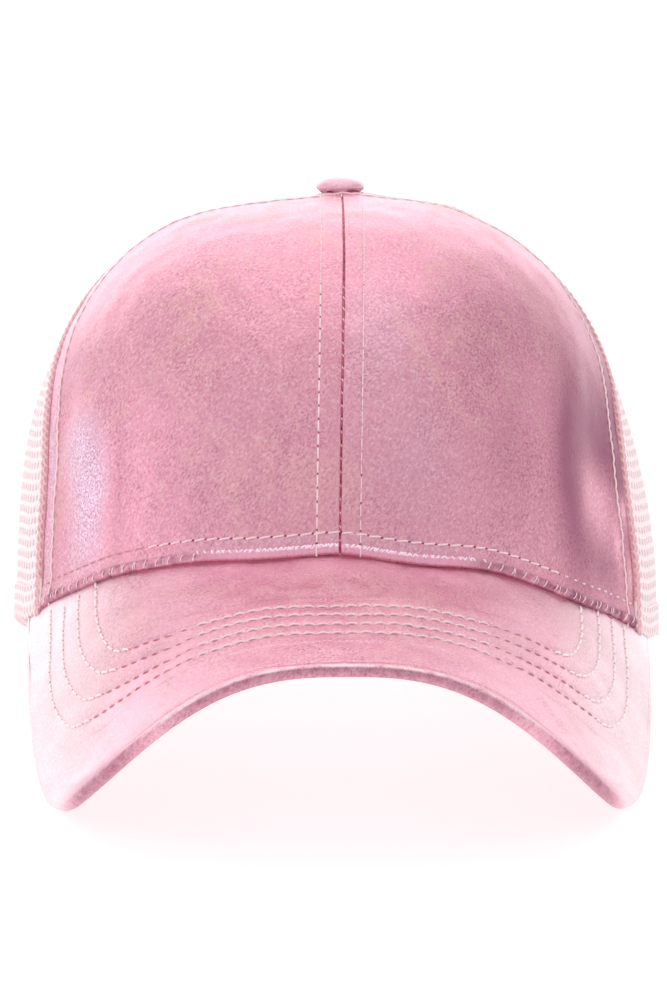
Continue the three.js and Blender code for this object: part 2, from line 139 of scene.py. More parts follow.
def toWorld(points):
    x, y, z = points[..., 0], points[..., 1], points[..., 2]
    lift = crown["halfLength"] * math.sin(leanBack)
    turnedY = y * math.cos(leanBack) + z * math.sin(leanBack) + crown["placeBack"]
    turnedZ = z * math.cos(leanBack) - y * math.sin(leanBack) + lift
    return np.stack([x, turnedY, turnedZ], -1) / 1000


def directionToWorld(directions):
    return toWorld(directions) * 1000 - toWorld(np.zeros(3)) * 1000


# The crown and the peak as surfaces.

def profileAt(turn):
    ahead = np.maximum(np.cos(turn), 0) ** 2
    behind = np.maximum(-np.cos(turn), 0) ** 2
    aside = np.sin(turn) ** 2

    def blend(key):
        front, back, side = (profiles[name][key] for name in ("front", "back", "side"))
        return front * ahead + back * behind + side * aside

    return blend("across"), blend("up")


def sidewaysShift(turn, inward, height):
    share = np.maximum(height, 0) / crown["height"]
    atSeam = mix(slump["seamAtRim"], slump["seamAtTop"], share ** slump["seamPower"])
    atSides = slump["sides"] * smoothstep(height, slump["sidesFrom"], slump["sidesUntil"])
    aside = np.sin(turn) ** 2 * smoothstep(inward, slump["sidesEndAt"], slump["sidesEndFrom"])
    return mix(atSeam, atSides, aside)


def crownPoint(turn, tilt):
    across, up = profileAt(turn)
    inward = np.cos(np.maximum(tilt, 0)) ** (2 / across)
    upward = np.sign(tilt) * np.abs(np.sin(tilt)) ** (2 / up)
    nearTip = np.maximum(1 - inward * crown["halfWidth"] / crown["tipRadius"], 0)
    height = crown["height"] * upward
    x = crown["halfWidth"] * inward * np.sin(turn) + sidewaysShift(turn, inward, height)
    y = crown["apexBack"] * np.maximum(upward, 0) - crown["halfLength"] * inward * np.cos(turn)
    return np.stack([x, y, height + crown["tipRise"] * nearTip ** 2], -1)


def crownNormal(turn, tilt):
    around = crownPoint(turn + smallTurn, tilt) - crownPoint(turn - smallTurn, tilt)
    climb = crownPoint(turn, tilt + smallTurn) - crownPoint(turn, tilt - smallTurn)
    return unit(np.cross(around, climb))


def widthPerRadian(turn, tilt):
    return lengthOf(crownPoint(turn + smallTurn, tilt) - crownPoint(turn, tilt)) / smallTurn


def tiltAtHeight(turn, height):
    share = np.minimum(np.abs(height) / crown["height"], 1)
    return np.sign(height) * np.arcsin(share ** (profileAt(turn)[1] / 2))


def tiltAtTop(turn):
    return np.arccos((crown["topHole"] / crown["halfWidth"]) ** (profileAt(turn)[0] / 2))


# Along the crown the peak is raised and pulled down a little by the seams that meet there.
seamWaves = [
    {"x": 0, "width": 9, "drop": -0.85},
    {"x": 22, "width": 13, "drop": 1.4},
    {"x": -24, "width": 12, "drop": 0.9},
    {"x": -62, "width": 13, "drop": -1.5},
]
seamWavesReach = 28


def peakDrop(x, along):
    share = smoothstep(along, bends["seam"]["along"], bends["front"]["along"])
    sag = mix(bends["seam"]["sag"], bends["front"]["sag"], share)
    power = mix(bends["seam"]["power"], bends["front"]["power"], share)
    level = smoothstep(along, twist["start"], twist["end"])
    leftDrop = x * math.tan(math.radians(twist["angle"])) * (1 - level)
    wave = sum(part["drop"] * peaked(x, part["x"], part["width"]) for part in seamWaves)
    wave = wave * fade(along, 0, seamWavesReach)
    return sag * (np.abs(x) / peak["sagAt"]) ** power + leftDrop + wave


def peakPoint(x, along):
    drop = peakDrop(x, along)
    y = -crown["halfLength"] - along * math.cos(slope) + drop * math.sin(slope)
    z = peak["frontRise"] - along * math.sin(slope) - drop * math.cos(slope)
    return np.stack([x, y, z], -1)


def peakNormal(x, along):
    step = 0.05
    across = peakPoint(x + step, along) - peakPoint(x - step, along)
    forward = peakPoint(x, along + step) - peakPoint(x, along - step)
    return unit(np.cross(forward, across))


def alongPeak(x, y):
    along = np.zeros_like(x)
    for _ in range(solvingRounds):
        along = (peakDrop(x, along) * math.sin(slope) - crown["halfLength"] - y) / math.cos(slope)
    return along


def peakEnd(side):
    x, y, _ = crownPoint(np.array(side * math.radians(peak["endTurn"])), np.array(0.0))
    return {"x": float(x), "y": float(y), "along": float(alongPeak(x, y))}


peakEnds = {1: peakEnd(1), -1: peakEnd(-1)}


def endValue(key, positive):
    return np.where(positive, peakEnds[1][key], peakEnds[-1][key])


def peakOutline(share):
    swing = math.pi / 2 * (1 - np.sin(np.abs(share) * math.pi / 2) ** peak["cornerCrowding"])
    side = np.cos(swing) ** (2 / peak["sideSquareness"])
    reach = np.sin(swing) ** (2 / peak["frontSquareness"])
    narrowing = 1 - peak["taper"] * np.sin(swing) ** 2
    left = share >= 0
    return endValue("x", left) * side * narrowing, mix(endValue("along", left), peak["length"], reach)


def floorHeight(y):
    return (y - crown["halfLength"]) * math.tan(leanBack)


def rimHeight(turn, x, y):
    def onPeak(px, py):
        return peakPoint(px, alongPeak(px, py))[..., 2] + rim["abovePeak"]

    away = np.abs(turn)
    inward = np.hypot(x / crown["halfWidth"], y / crown["halfLength"])
    left = turn >= 0
    atEnd = onPeak(endValue("x", left) * inward, endValue("y", left) * inward)
    share = smoothstep(away, math.radians(rim["dropsFrom"]), math.radians(rim["restsFrom"]))
    behind = mix(atEnd, floorHeight(y), share)
    return np.where(away <= math.radians(peak["endTurn"]), onPeak(x, y), behind)


def solveRimTilts():
    turns = np.linspace(-math.pi, math.pi, 2881)
    tilts = np.zeros_like(turns)
    for _ in range(solvingRounds):
        places = crownPoint(turns, tilts)
        tilts = tiltAtHeight(turns, rimHeight(turns, places[:, 0], places[:, 1]))
    return turns, tilts


rimTurns, rimTilts = solveRimTilts()


def tiltAtRim(turn):
    return np.interp(turn, rimTurns, rimTilts)


def seamTurn(seam, climb):
    lean = smoothstep(climb, seamLean["start"], seamLean["end"])
    return np.radians(mix(seam["atRim"], seam["atTop"], lean))


def dentDepth(side, across, climb):
    depth = np.zeros_like(across)
    for dent in dents:
        if dent["side"] == side:
            depth = depth + dent["depth"] * softSpot(dent, across, climb)
    return depth


def softSpot(spot, across, climb):
    aside = ((across - spot["across"]) / spot["width"]) ** 2
    above = ((climb - spot["climb"]) / spot["reach"]) ** 2
    return np.exp(-aside - above)


# A place in a panel between two seams: across and climb run from 0 to 1, depth is into the wall.
def panelPoint(panel, across, climb, depth=0.0):
    side = panel["side"]
    rimTurn = side * np.radians(mix(panel["start"]["atRim"], panel["end"]["atRim"], across))
    tilt = mix(tiltAtRim(rimTurn), tiltAtTop(rimTurn), climb)

    def halfGap(turn):
        return crown["seamGap"] / 2 / widthPerRadian(turn, tilt)

    start = seamTurn(panel["start"], climb)
    end = seamTurn(panel["end"], climb)
    turn = side * mix(start + halfGap(side * start), end - halfGap(side * end), across)
    front = panel["start"] is seams["frontCentre"]
    fullness = crown["frontBulge"] if front else crown["netBulge"]
    bulge = fullness * np.sin(math.pi * across) * np.sin(math.pi * climb)
    dent = dentDepth(side, across, climb) if front else 0
    normal = crownNormal(turn, tilt)
    point = crownPoint(turn, tilt) + normal * (bulge - dent - depth)[..., None]
    return footOnRim(point, turn, climb)


def footOnRim(point, turn, climb):
    atRim = rimHeight(turn, point[..., 0], point[..., 1])
    point[..., 2] = np.where(climb <= 0, atRim, point[..., 2])
    return point


def backPoint(x, height, depth=0.0):
    turn = np.full_like(x, math.pi)
    for _ in range(solvingRounds):
        tilt = tiltAtHeight(turn, height)
        turn = turn - (x - crownPoint(turn, tilt)[..., 0]) / crown["halfWidth"]
    return crownPoint(turn, tilt) - crownNormal(turn, tilt) * depth


# Smooth unevenness without a grid: a few waves in random directions, the same on every run.
def unevenness(points, wavelength, seed, waves=14):
    draw = np.random.default_rng(seed)
    total = np.zeros(points.shape[:-1])
    for _ in range(waves):
        direction = draw.normal(size=3)
        direction /= np.linalg.norm(direction)
        stretch = draw.uniform(0.7, 1.5)
        phase = draw.uniform(0, 2 * math.pi)
        total += np.sin(points @ direction * (2 * math.pi / (wavelength * stretch)) + phase)
    return total / math.sqrt(waves)


def waviness(points, waves, seedShift=0):
    total = 0
    for wave in waves:
        total = total + wave["height"] * unevenness(points, wave["length"], wave["seed"] + seedShift)
    return total


# Meshes.

def addObject(name, data):
    made = bpy.data.objects.new(name, data)
    bpy.context.scene.collection.objects.link(made)
    return made


def shadeSmooth(mesh):
    mesh.polygons.foreach_set("use_smooth", [True] * len(mesh.polygons))


def meshObject(name, points, faces, materials, faceMaterials=None):
    mesh = bpy.data.meshes.new(name)
    mesh.from_pydata(toWorld(np.asarray(points)).tolist(), [], faces)
    shadeSmooth(mesh)
    for material in materials:
        mesh.materials.append(material)
    if faceMaterials is not None:
        mesh.polygons.foreach_set("material_index", faceMaterials)
    mesh.validate()
    return addObject(name, mesh)


# Stores a value at each point. The default one paints light and shade: above 0 a painted highlight,
# below 0 painted shade. Rosy is the share of the rose colour.
def paint(made, values, name="tone"):
    painted = made.data.attributes.new(name, "FLOAT", "POINT")
    painted.data.foreach_set("value", np.asarray(values, dtype=np.float32).ravel())


def addPiece(made, slot, *replaced):
    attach(made, body)
    if replaced:
        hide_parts(*replaced)
    return made


def cornerGrid(rows, columns):
    return np.arange(rows * columns).reshape(rows, columns)


# Four-sided faces between the neighbours in a grid of corner numbers.
def quads(corner, flip=False):
    a, b, c, d = corner[:-1, :-1], corner[:-1, 1:], corner[1:, 1:], corner[1:, :-1]
    order = (a, d, c, b) if flip else (a, b, c, d)
    return np.stack([part.ravel() for part in order], -1)


# A closed wall between an outer and an inner grid of points that have the same size.
def wallFaces(rows, columns, flip):
    corner = cornerGrid(rows, columns)
    behind = corner.size
    borders = [corner[0], corner[:, -1], corner[-1, ::-1], corner[::-1, 0]]
    ring = np.concatenate([border[:-1] for border in borders])
    onward = np.roll(ring, -1)
    order = (ring, onward, onward + behind, ring + behind)
    edge = np.stack(order if flip else order[::-1], -1)
    return quads(corner, flip), quads(corner + behind, not flip), edge


# A tube whose last row of points meets its first, with one face over each end.
def tubeFaces(rows, columns, flip=False):
    corner = cornerGrid(rows, columns)
    ends = [corner[:, 0], corner[::-1, -1]]
    faces = quads(np.concatenate([corner, corner[:1]]), flip).tolist()
    return faces + [(end[::-1] if flip else end).tolist() for end in ends]


def arcFrom(points, axis):
    steps = lengthOf(np.diff(points, axis=axis))
    sums = np.cumsum(steps, axis=axis)
    start = np.zeros_like(np.take(sums, [0], axis=axis))
    return np.concatenate([start, sums], axis=axis)


def gridNormals(points, side):
    down = np.gradient(points, axis=0)
    along = np.gradient(points, axis=1)
    return unit(np.cross(along, down)) * side


# Node trees: one class for sockets in sums, one for the trees of materials and of geometry.

def arithmetic(operation, otherFirst=False):
    def combine(self, other):
        first, second = (other, self) if otherFirst else (self, other)
        return self.tree.node("ShaderNodeMath", {"operation": operation}, {0: first, 1: second})

    return combine


class Socket:
    def __init__(self, tree, socket):
        self.tree = tree
        self.socket = socket

    __add__ = arithmetic("ADD")
    __radd__ = arithmetic("ADD", True)
    __sub__ = arithmetic("SUBTRACT")
    __rsub__ = arithmetic("SUBTRACT", True)
    __mul__ = arithmetic("MULTIPLY")
    __rmul__ = arithmetic("MULTIPLY", True)
    __truediv__ = arithmetic("DIVIDE")
    atMost = arithmetic("MINIMUM")
    atLeast = arithmetic("MAXIMUM")


class Tree:
    def __init__(self, nodeTree):
        self.nodes = nodeTree.nodes
        self.links = nodeTree.links

    def node(self, kind, settings=None, inputs=None, output=0):
        made = self.nodes.new(kind)
        for name, value in (settings or {}).items():
            if name == "stops":
                self.setStops(made.color_ramp, value)
            else:
                setattr(made, name, value)
        for name, value in (inputs or {}).items():
            self.feed(made.inputs[name], value)
        return Socket(self, made.outputs[output])

    def feed(self, socket, value):
        if isinstance(value, Socket):
            self.links.new(value.socket, socket)
        else:
            socket.default_value = value

    def setStops(self, ramp, stops):
        while len(ramp.elements) < len(stops):
            ramp.elements.new(1)
        for element, (place, colour) in zip(ramp.elements, stops):
            element.position = place
            element.color = colour


class Finish(Tree):
    def __init__(self, name, fixed):
        self.material = bpy.data.materials.new(name)
        self.material.use_nodes = True
        super().__init__(self.material.node_tree)
        self.shader = self.nodes["Principled BSDF"]
        for socket, value in fixed.items():
            self.shader.inputs[socket].default_value = value
        self.place = self.node("ShaderNodeTexCoord", output="Object")

    def set(self, **sockets):
        for name, value in sockets.items():
            label = {"baseColor": "Base Color", "coat": "Coat Weight"}.get(name, name.capitalize())
            self.feed(self.shader.inputs[label], value)

    def noise(self, scale, detail=2.0, roughness=0.5, distortion=0.0, place=None):
        inputs = {
            "Vector": place or self.place,
            "Scale": scale,
            "Detail": detail,
            "Roughness": roughness,
            "Distortion": distortion,
        }
        return self.node("ShaderNodeTexNoise", None, inputs, "Fac")

    def attribute(self, name):
        return self.node("ShaderNodeAttribute", {"attribute_name": name}, None, "Fac")

    def turned(self, axis, degrees):
        inputs = {"Vector": self.place, "Angle": math.radians(degrees)}
        return self.node("ShaderNodeVectorRotate", {"rotation_type": axis + "_AXIS"}, inputs)

    def stretched(self, factors, place=None):
        inputs = {0: place or self.place, 1: factors}
        return self.node("ShaderNodeVectorMath", {"operation": "MULTIPLY"}, inputs)

    def between(self, value, start, end):
        inputs = {"Value": value, "From Min": start, "From Max": end}
        return self.node("ShaderNodeMapRange", {"interpolation_type": "SMOOTHSTEP"}, inputs)

    def blend(self, share, first, last):
        return self.node("ShaderNodeMix", {"data_type": "RGBA"}, {0: share, 6: first, 7: last}, 2)

    def bump(self, height, distance, strength=1.0, under=None):
        inputs = {"Height": height, "Distance": distance, "Strength": strength}
        if under is not None:
            inputs["Normal"] = under
        return self.node("ShaderNodeBump", None, inputs)


class Recipe(Tree):
    def __init__(self, name, inputs):
        self.group = bpy.data.node_groups.new(name, "GeometryNodeTree")
        super().__init__(self.group)
        for label, kind in {"Geometry": "NodeSocketGeometry", **inputs}.items():
            self.group.interface.new_socket(label, in_out="INPUT", socket_type=kind)
        self.group.interface.new_socket("Geometry", in_out="OUTPUT", socket_type="NodeSocketGeometry")
        self.entry = self.nodes.new("NodeGroupInput")

    def given(self, label):
        return Socket(self, self.entry.outputs[label])

    def end(self, geometry):
        real = self.node("GeometryNodeRealizeInstances", None, {0: geometry})
        inputs = {"Geometry": real, "Material": self.given("Material")}
        painted = self.node("GeometryNodeSetMaterial", None, inputs)
        out = self.nodes.new("NodeGroupOutput")
        self.feed(out.inputs[0], painted)
        return self.group


# Runs a geometry tree on an object and keeps its result as a plain mesh.
def runRecipe(made, group, values):
    modifier = made.modifiers.new("recipe", "NODES")
    modifier.node_group = group
    for item in group.interface.items_tree:
        if item.in_out == "INPUT" and item.name in values:
            modifier[item.identifier] = values[item.name]
    settled = made.evaluated_get(bpy.context.evaluated_depsgraph_get())
    mesh = bpy.data.meshes.new_from_object(settled)
    made.modifiers.clear()
    made.data = mesh
    shadeSmooth(mesh)


# Finishes.

leatherLooks = {
    "mauve": (0.80, 0.345, 0.445, 1),
    "deep": (0.70, 0.27, 0.38, 1),
    "plum": (0.35, 0.11, 0.185, 1),
    "peach": (0.82, 0.44, 0.45, 1),
    "speck": (0.98, 0.79, 0.87, 1),
    # Colour of the painted glints.
    "paintedGlint": (1.0, 0.93, 1.0, 1),
    "rose": (1.0, 0.47, 0.64, 1),
    "metallic": 0.72,
    "roughness": 0.38,
    "rubbedRoughness": 0.5,
    "coat": {"Coat Weight": 0.1, "Coat Roughness": 0.4},
    "streaks": {"size": (150, 110, 45), "turned": 14},
    "grain": {"size": (1750, 1500, 1050), "turned": -35, "light": (0.50, 0.70), "dark": (0.50, 0.32)},
    # Grain for the painted glints.
    "paintedGlintGrain": {"size": (2000, 1900, 1500), "turned": 20, "light": (0.54, 0.64), "dark": (0.47, 0.37)},
    "clouds": {"ends": (0.40, 0.62), "share": 0.45},
    "patches": {"ends": (0.45, 0.62), "dark": 0.28, "darker": 0.3},
    "specks": 0.4,
    # How evenly the painted shade covers the grain.
    "paintedShadeEven": 0.75,
}


# rubbed gives where the brushed streaks begin and end, and how much of the colour they take.
# The painted highlight argument gives the colour of painted highlights, how even they are
# and how much painted glint they carry.
def coatedLeather(name, rubbed, paintedHighlight, lift):
    looks = leatherLooks
    finish = Finish(name, {"Metallic": looks["metallic"], **looks["coat"]})

    def brushed(part, detail, roughness, distortion):
        place = finish.stretched(looks[part]["size"], finish.turned("Y", looks[part]["turned"]))
        return finish.noise(1, detail, roughness, distortion, place)

    clouds = finish.noise(24, 3, 0.5, 0.4)
    streaks = brushed("streaks", 5, 0.62, 1.1)
    grain = brushed("grain", 2, 0.65, 0.3)
    pebbles = finish.noise(420, 2, 0.5)
    light, dark = (finish.between(grain, *looks["grain"][part]) for part in ("light", "dark"))
    cloudShare = looks["clouds"]["share"]
    worn = finish.between(clouds * cloudShare + streaks * (1 - cloudShare), rubbed["start"], rubbed["end"])
    cloudy = finish.between(clouds, *looks["clouds"]["ends"])
    colour = finish.blend(cloudy * cloudShare, looks["mauve"], looks["deep"])
    colour = finish.blend(worn * rubbed["share"], colour, looks["peach"])
    colour = finish.blend(lift, colour, looks["speck"])
    patches = finish.between(finish.noise(70, 2, 0.5, 0.3), *looks["patches"]["ends"])
    darker = looks["patches"]["dark"] + looks["patches"]["darker"] * patches
    colour = finish.blend(dark * darker, colour, looks["plum"])
    colour = finish.blend(light * looks["specks"], colour, looks["speck"])
    # Painted on the pieces: painted highlights and painted shade, and rosy gives them the rose colour.
    tone = finish.attribute("tone")
    even = looks["paintedShadeEven"]
    paintedShade = (tone * -1).atLeast(0) * (even + (1 - even) * dark)
    colour = finish.blend(paintedShade, colour, looks["plum"])
    bright = tone.atLeast(0)
    colour = finish.blend(bright * (paintedHighlight["even"] + (1 - paintedHighlight["even"]) * light), colour, paintedHighlight["colour"])
    colour = finish.blend(finish.attribute("rosy"), colour, looks["rose"])
    # Painted glints: light and dark specks that show only inside the painted highlights.
    glintShare = bright.atMost(1) * bright.atMost(1) * paintedHighlight["glintShare"]
    paintedGlint = brushed("paintedGlintGrain", 1, 0.5, 0.2)
    for part, shade in (("dark", "plum"), ("light", "paintedGlint")):
        share = finish.between(paintedGlint, *looks["paintedGlintGrain"][part]) * glintShare
        colour = finish.blend(share, colour, looks[shade])
    finish.set(baseColor=colour)
    dulled = worn * (looks["rubbedRoughness"] - looks["roughness"])
    finish.set(roughness=looks["roughness"] + (grain - 0.5) * 0.4 + dulled)
    fine = finish.bump(grain, 0.00015)
    finish.set(normal=finish.bump(pebbles, 0.0001, 0.8, fine))
    return finish.material


# glow makes a finish give off light of its own: painted light.
def plainFinish(name, colour, roughness, scale, bump, variation=0.12, glow=0.0):
    finish = Finish(name, {"Specular IOR Level": 0.35, "Emission Strength": glow})
    finish.shader.inputs["Emission Color"].default_value = colour
    weave = finish.noise(scale, 3, 0.6)
    darker = tuple(part * (1 - variation) for part in colour[:3]) + (1,)
    finish.set(baseColor=finish.blend(finish.between(weave, 0.35, 0.65), darker, colour))
    finish.set(roughness=roughness + (weave - 0.5) * 0.2)
    finish.set(normal=finish.bump(weave, bump))
    return finish.material


crownRubbed = {"start": 0.50, "end": 0.60, "share": 0.6}
peakRubbed = {"start": 0.48, "end": 0.58, "share": 0.5}
# Painted highlights on the crown and the peak.
crownPaintedHighlight = {"colour": (0.92, 0.70, 0.92, 1), "even": 0.35, "glintShare": 0.5}
peakPaintedHighlight = {"colour": (1.0, 0.88, 0.91, 1), "even": 0.75, "glintShare": 0.01}
# The netting, thread, overlock and crest glint finishes glow a little: painted light that brightens them.
finishes = {
    "crownLeather": coatedLeather("coatedLeatherCrown", crownRubbed, crownPaintedHighlight, 0.02),
    "peakLeather": coatedLeather("coatedLeatherPeak", peakRubbed, peakPaintedHighlight, 0.14),
    "backing": plainFinish("plainBacking", (0.85, 0.62, 0.66, 1), 0.85, 1200, 0.00008),
    "netting": plainFinish("netting", (0.98, 0.80, 0.82, 1), 0.55, 2500, 0.00003, 0.12, 0.12),
    "thread": plainFinish("thread", (1.0, 0.78, 0.80, 1), 0.6, 3500, 0.00004, 0.12, 0.08),
    "needleHole": plainFinish("needleHole", (0.40, 0.06, 0.11, 1), 0.8, 3000, 0.00002),
    "cotton": plainFinish("cottonTape", (0.90, 0.52, 0.58, 1), 0.85, 1800, 0.00008),
    "seamThread": plainFinish("seamThread", (0.66, 0.17, 0.27, 1), 0.6, 3500, 0.00004),
    "roseThread": plainFinish("roseThread", (0.80, 0.36, 0.42, 1), 0.6, 3500, 0.00004),
    "crestGlint": plainFinish("paintedCrestGlint", (1.0, 0.88, 0.96, 1), 0.5, 3500, 0.00004, 0.12, 0.15),
    "netTape": plainFinish("netTape", (0.95, 0.49, 0.55, 1), 0.8, 2600, 0.0001, 0.3),
    "chain": plainFinish("netEdgeThread", (1.0, 0.63, 0.67, 1), 0.6, 3500, 0.00004),
    "overlock": plainFinish("overlockThread", (1.0, 0.90, 0.90, 1), 0.6, 3500, 0.00004, 0.12, 0.12),
    "plastic": plainFinish("strapPlastic", (0.90, 0.52, 0.60, 1), 0.42, 300, 0.00002, 0.05),
}
print("finishes made:", len(finishes))


# Front panels: a leather face with turned edges over a backing.

panelMake = {
    "centreRoll": 0.3,  # radius of the turned edge along each seam
    "sideRoll": 0.7,
    "centreRow": {1: 5.1, -1: 5.8},  # stitch rows: from the centre seam, the side seam and the peak
    "sideRow": 4.9,
    "sideRowSpread": 4.2,  # how much further in the side row runs near the top
    "rimRow": 5.7,
    "allowance": 0.28,  # the seam allowance under the leather lifts it this much
    "groove": 0.17,
    "grooveWidth": 0.5,
    "rimDrop": 0.3,  # the turned rim hangs this far into the gap over the peak
    "sideRowSpreads": (0.2, 0.75),  # between these shares of the climb
    "allowanceEnds": (-0.5, 0.9),  # it thins out between these distances from the row
    "waves": [{"height": 0.10, "length": 9, "seed": 3}, {"height": 0.22, "length": 34, "seed": 7}],
    "fineRows": 26,
    "fineReach": 8.5,
    "coarseRows": 130,
    "columns": 150,
    "crowding": 0.105,  # of the columns towards both seams
    "rosyMiddle": {"share": 0.15, "climb": (0.2, 0.4), "across": (0.4, 0.6)},
    "centreRowSkips": 4,  # points left out over the bead
}
# The bead over the peak. Its parts are given as shares of its width, where each begins and ends.
bead = {
    "width": 2.7,
    "proud": 0.5,
    "crinkle": 0.15,
    "bright": 26,  # its painted highlight reaches up to here from the centre seam
    "gathered": 42,  # and is gathered, with painted shade, from here on
    "footEnds": 0.25,
    "crestFrom": 0.7,
    "creases": 10,
    "creasePitch": (1.1, 2.6),
    "creaseLean": 0.9,
    # Painted light on the bead: highlight on the crest, shade at its foot and gathers, rose on its body.
    "crest": {"tone": 0.7, "at": 0.8, "width": 0.15},
    "foot": {"tone": -0.3, "fades": (0.05, 0.4)},
    "gathers": {"tone": 0.65, "uneven": 0.5, "length": 3, "seed": 17, "least": 0.1, "fades": (0.8, 1.1)},
    "strip": {"tone": 0.35, "from": (1.0, 1.3), "beforeRow": 0.5},
    "body": {"from": (0.1, 0.35), "fades": (0.85, 1.05), "rosy": 0.6},
    "tacksAt": 0.5,
    "glintsAt": 0.85,
    "tacksBefore": 4,  # the tacks begin this far before the gathers
    "seamClear": 1.2,  # no painted glint lies this near the centre seam
}


def distancesFromRim(panel, acrossShares, millimetreRows, coarseRows):
    dense = np.linspace(0, 1, 400)
    across, climb = np.meshgrid(acrossShares, dense)
    arcs = arcFrom(panelPoint(panel, across, climb), 0)
    climbs = np.zeros((len(millimetreRows) + coarseRows, len(acrossShares)))
    for column in range(len(acrossShares)):
        total = arcs[-1, column]
        rest = np.linspace(millimetreRows[-1], total, coarseRows + 1)[1:]
        wanted = np.concatenate([millimetreRows, rest])
        climbs[:, column] = np.interp(wanted, arcs[:, column], dense)
    climbs[0] = 0
    return climbs


def seamCrowded(columns):
    even = np.linspace(0, 1, columns)
    return even - panelMake["crowding"] * np.sin(2 * math.pi * even)


# The line on a grid where a measure passes a level, found along each row or each column.
def pathWhere(measure, level, points, normals, axis):
    if axis == 0:
        measure, points, normals = measure.T, points.swapaxes(0, 1), normals.swapaxes(0, 1)
    places, facings = [], []
    for line, spots, facing in zip(measure, points, normals):
        passes = np.nonzero((line[:-1] - level) * (line[1:] - level) <= 0)[0]
        if len(passes) == 0:
            continue
        at = passes[0]
        share = (level - line[at]) / (line[at + 1] - line[at])
        places.append(mix(spots[at], spots[at + 1], share))
        facings.append(mix(facing[at], facing[at + 1], share))
    return np.array(places), unit(np.array(facings))


def partWhere(line, inside):
    return tuple(part[inside] for part in line)


def rolledEdge(distance, radius):
    inside = np.clip(radius - distance, 0, radius)
    return np.sqrt(radius ** 2 - inside ** 2) - radius


def frontPanel(name, side, node):
    make = panelMake
    panel = {"start": seams["frontCentre"], "end": seams["frontSide"], "side": side}
    shares = seamCrowded(make["columns"])
    fine = np.linspace(0, make["fineReach"], make["fineRows"])
    climb = distancesFromRim(panel, shares, fine, make["coarseRows"])
    across = np.broadcast_to(shares, climb.shape)
    base = panelPoint(panel, across, climb)
    arcs = arcFrom(base, 1)
    fromCentre = np.abs(base[..., 0] - base[:, :1, 0]) * 0.5 + arcs * 0.5
    fromSide = arcs[:, -1:] - arcs
    fromRim = arcFrom(base, 0)
    rise = rolledEdge(fromCentre, make["centreRoll"]) + rolledEdge(fromSide, make["sideRoll"])
    centreRow = make["centreRow"][side]
    sideRow = make["sideRow"] + make["sideRowSpread"] * smoothstep(climb, *make["sideRowSpreads"])
    thinsFrom, thinsUntil = make["allowanceEnds"]
    for distance, row in ((fromCentre, centreRow), (fromSide, sideRow), (fromRim, make["rimRow"])):
        rise += make["allowance"] * fade(distance, row + thinsFrom, row + thinsUntil)
        rise -= make["groove"] * peaked(distance, row, make["grooveWidth"])
    rise += beadRise(fromRim, fromCentre, side)
    rise += waviness(base, make["waves"], side)
    outer = base + gridNormals(base, side) * rise[..., None]
    outer[0] = base[0] - np.array([0, 0, make["rimDrop"]])
    inner = panelPoint(panel, across, climb, crown["frontWall"])
    rows, columns = climb.shape
    faces = wallFaces(rows, columns, side < 0)
    points = np.concatenate([outer.reshape(-1, 3), inner.reshape(-1, 3)])
    kinds = [0] * len(faces[0]) + [1] * len(faces[1]) + [0] * len(faces[2])
    materials = [finishes["crownLeather"], finishes["backing"]]
    made = meshObject(name, points, np.concatenate(faces).tolist(), materials, kinds)
    # Painted highlights and painted shade on the leather's face.
    tone = paintedPanelLight(side, across, climb) + paintedBeadLight(base, fromRim, fromCentre)
    tone += paintedLightSpots["stripPaintedLight"][side] * fade(fromSide, sideRow - 1, sideRow)
    middle = make["rosyMiddle"]
    rosy = middle["share"] * fade(climb, *middle["climb"]) * fade(across, *middle["across"])
    # The rose colour on the bead's body stands in for its shaded lower side: painted shade.
    rosy += bead["body"]["rosy"] * beadBody(fromRim) * fade(fromCentre, bead["bright"], bead["gathered"])
    for label, values in (("tone", tone), ("rosy", rosy)):
        paint(made, np.concatenate([values.ravel(), np.zeros(values.size)]), label)
    addPiece(made, "coated_leather", node)
    normals = gridNormals(base, side)
    tacks = pathWhere(fromRim, bead["width"] * bead["tacksAt"], outer, normals, 0)
    glintLine = pathWhere(fromRim, bead["width"] * bead["glintsAt"], outer, normals, 0)
    aside = np.abs(tacks[0][:, 0]) > bead["gathered"] - bead["tacksBefore"]
    shining = ~aside & (np.abs(glintLine[0][:, 0]) > bead["seamClear"])
    centre = pathWhere(fromCentre, centreRow, outer, normals, 1)
    return {
        "centre": tuple(part[make["centreRowSkips"]:] for part in centre),
        "side": pathWhere(fromSide - sideRow, 0, outer, normals, 1),
        "rim": pathWhere(fromRim, make["rimRow"], outer, normals, 0),
        "foot": (base[0], normals[0]),
        "gathers": partWhere(tacks, aside),
        "crest": partWhere(glintLine, shining),
    }


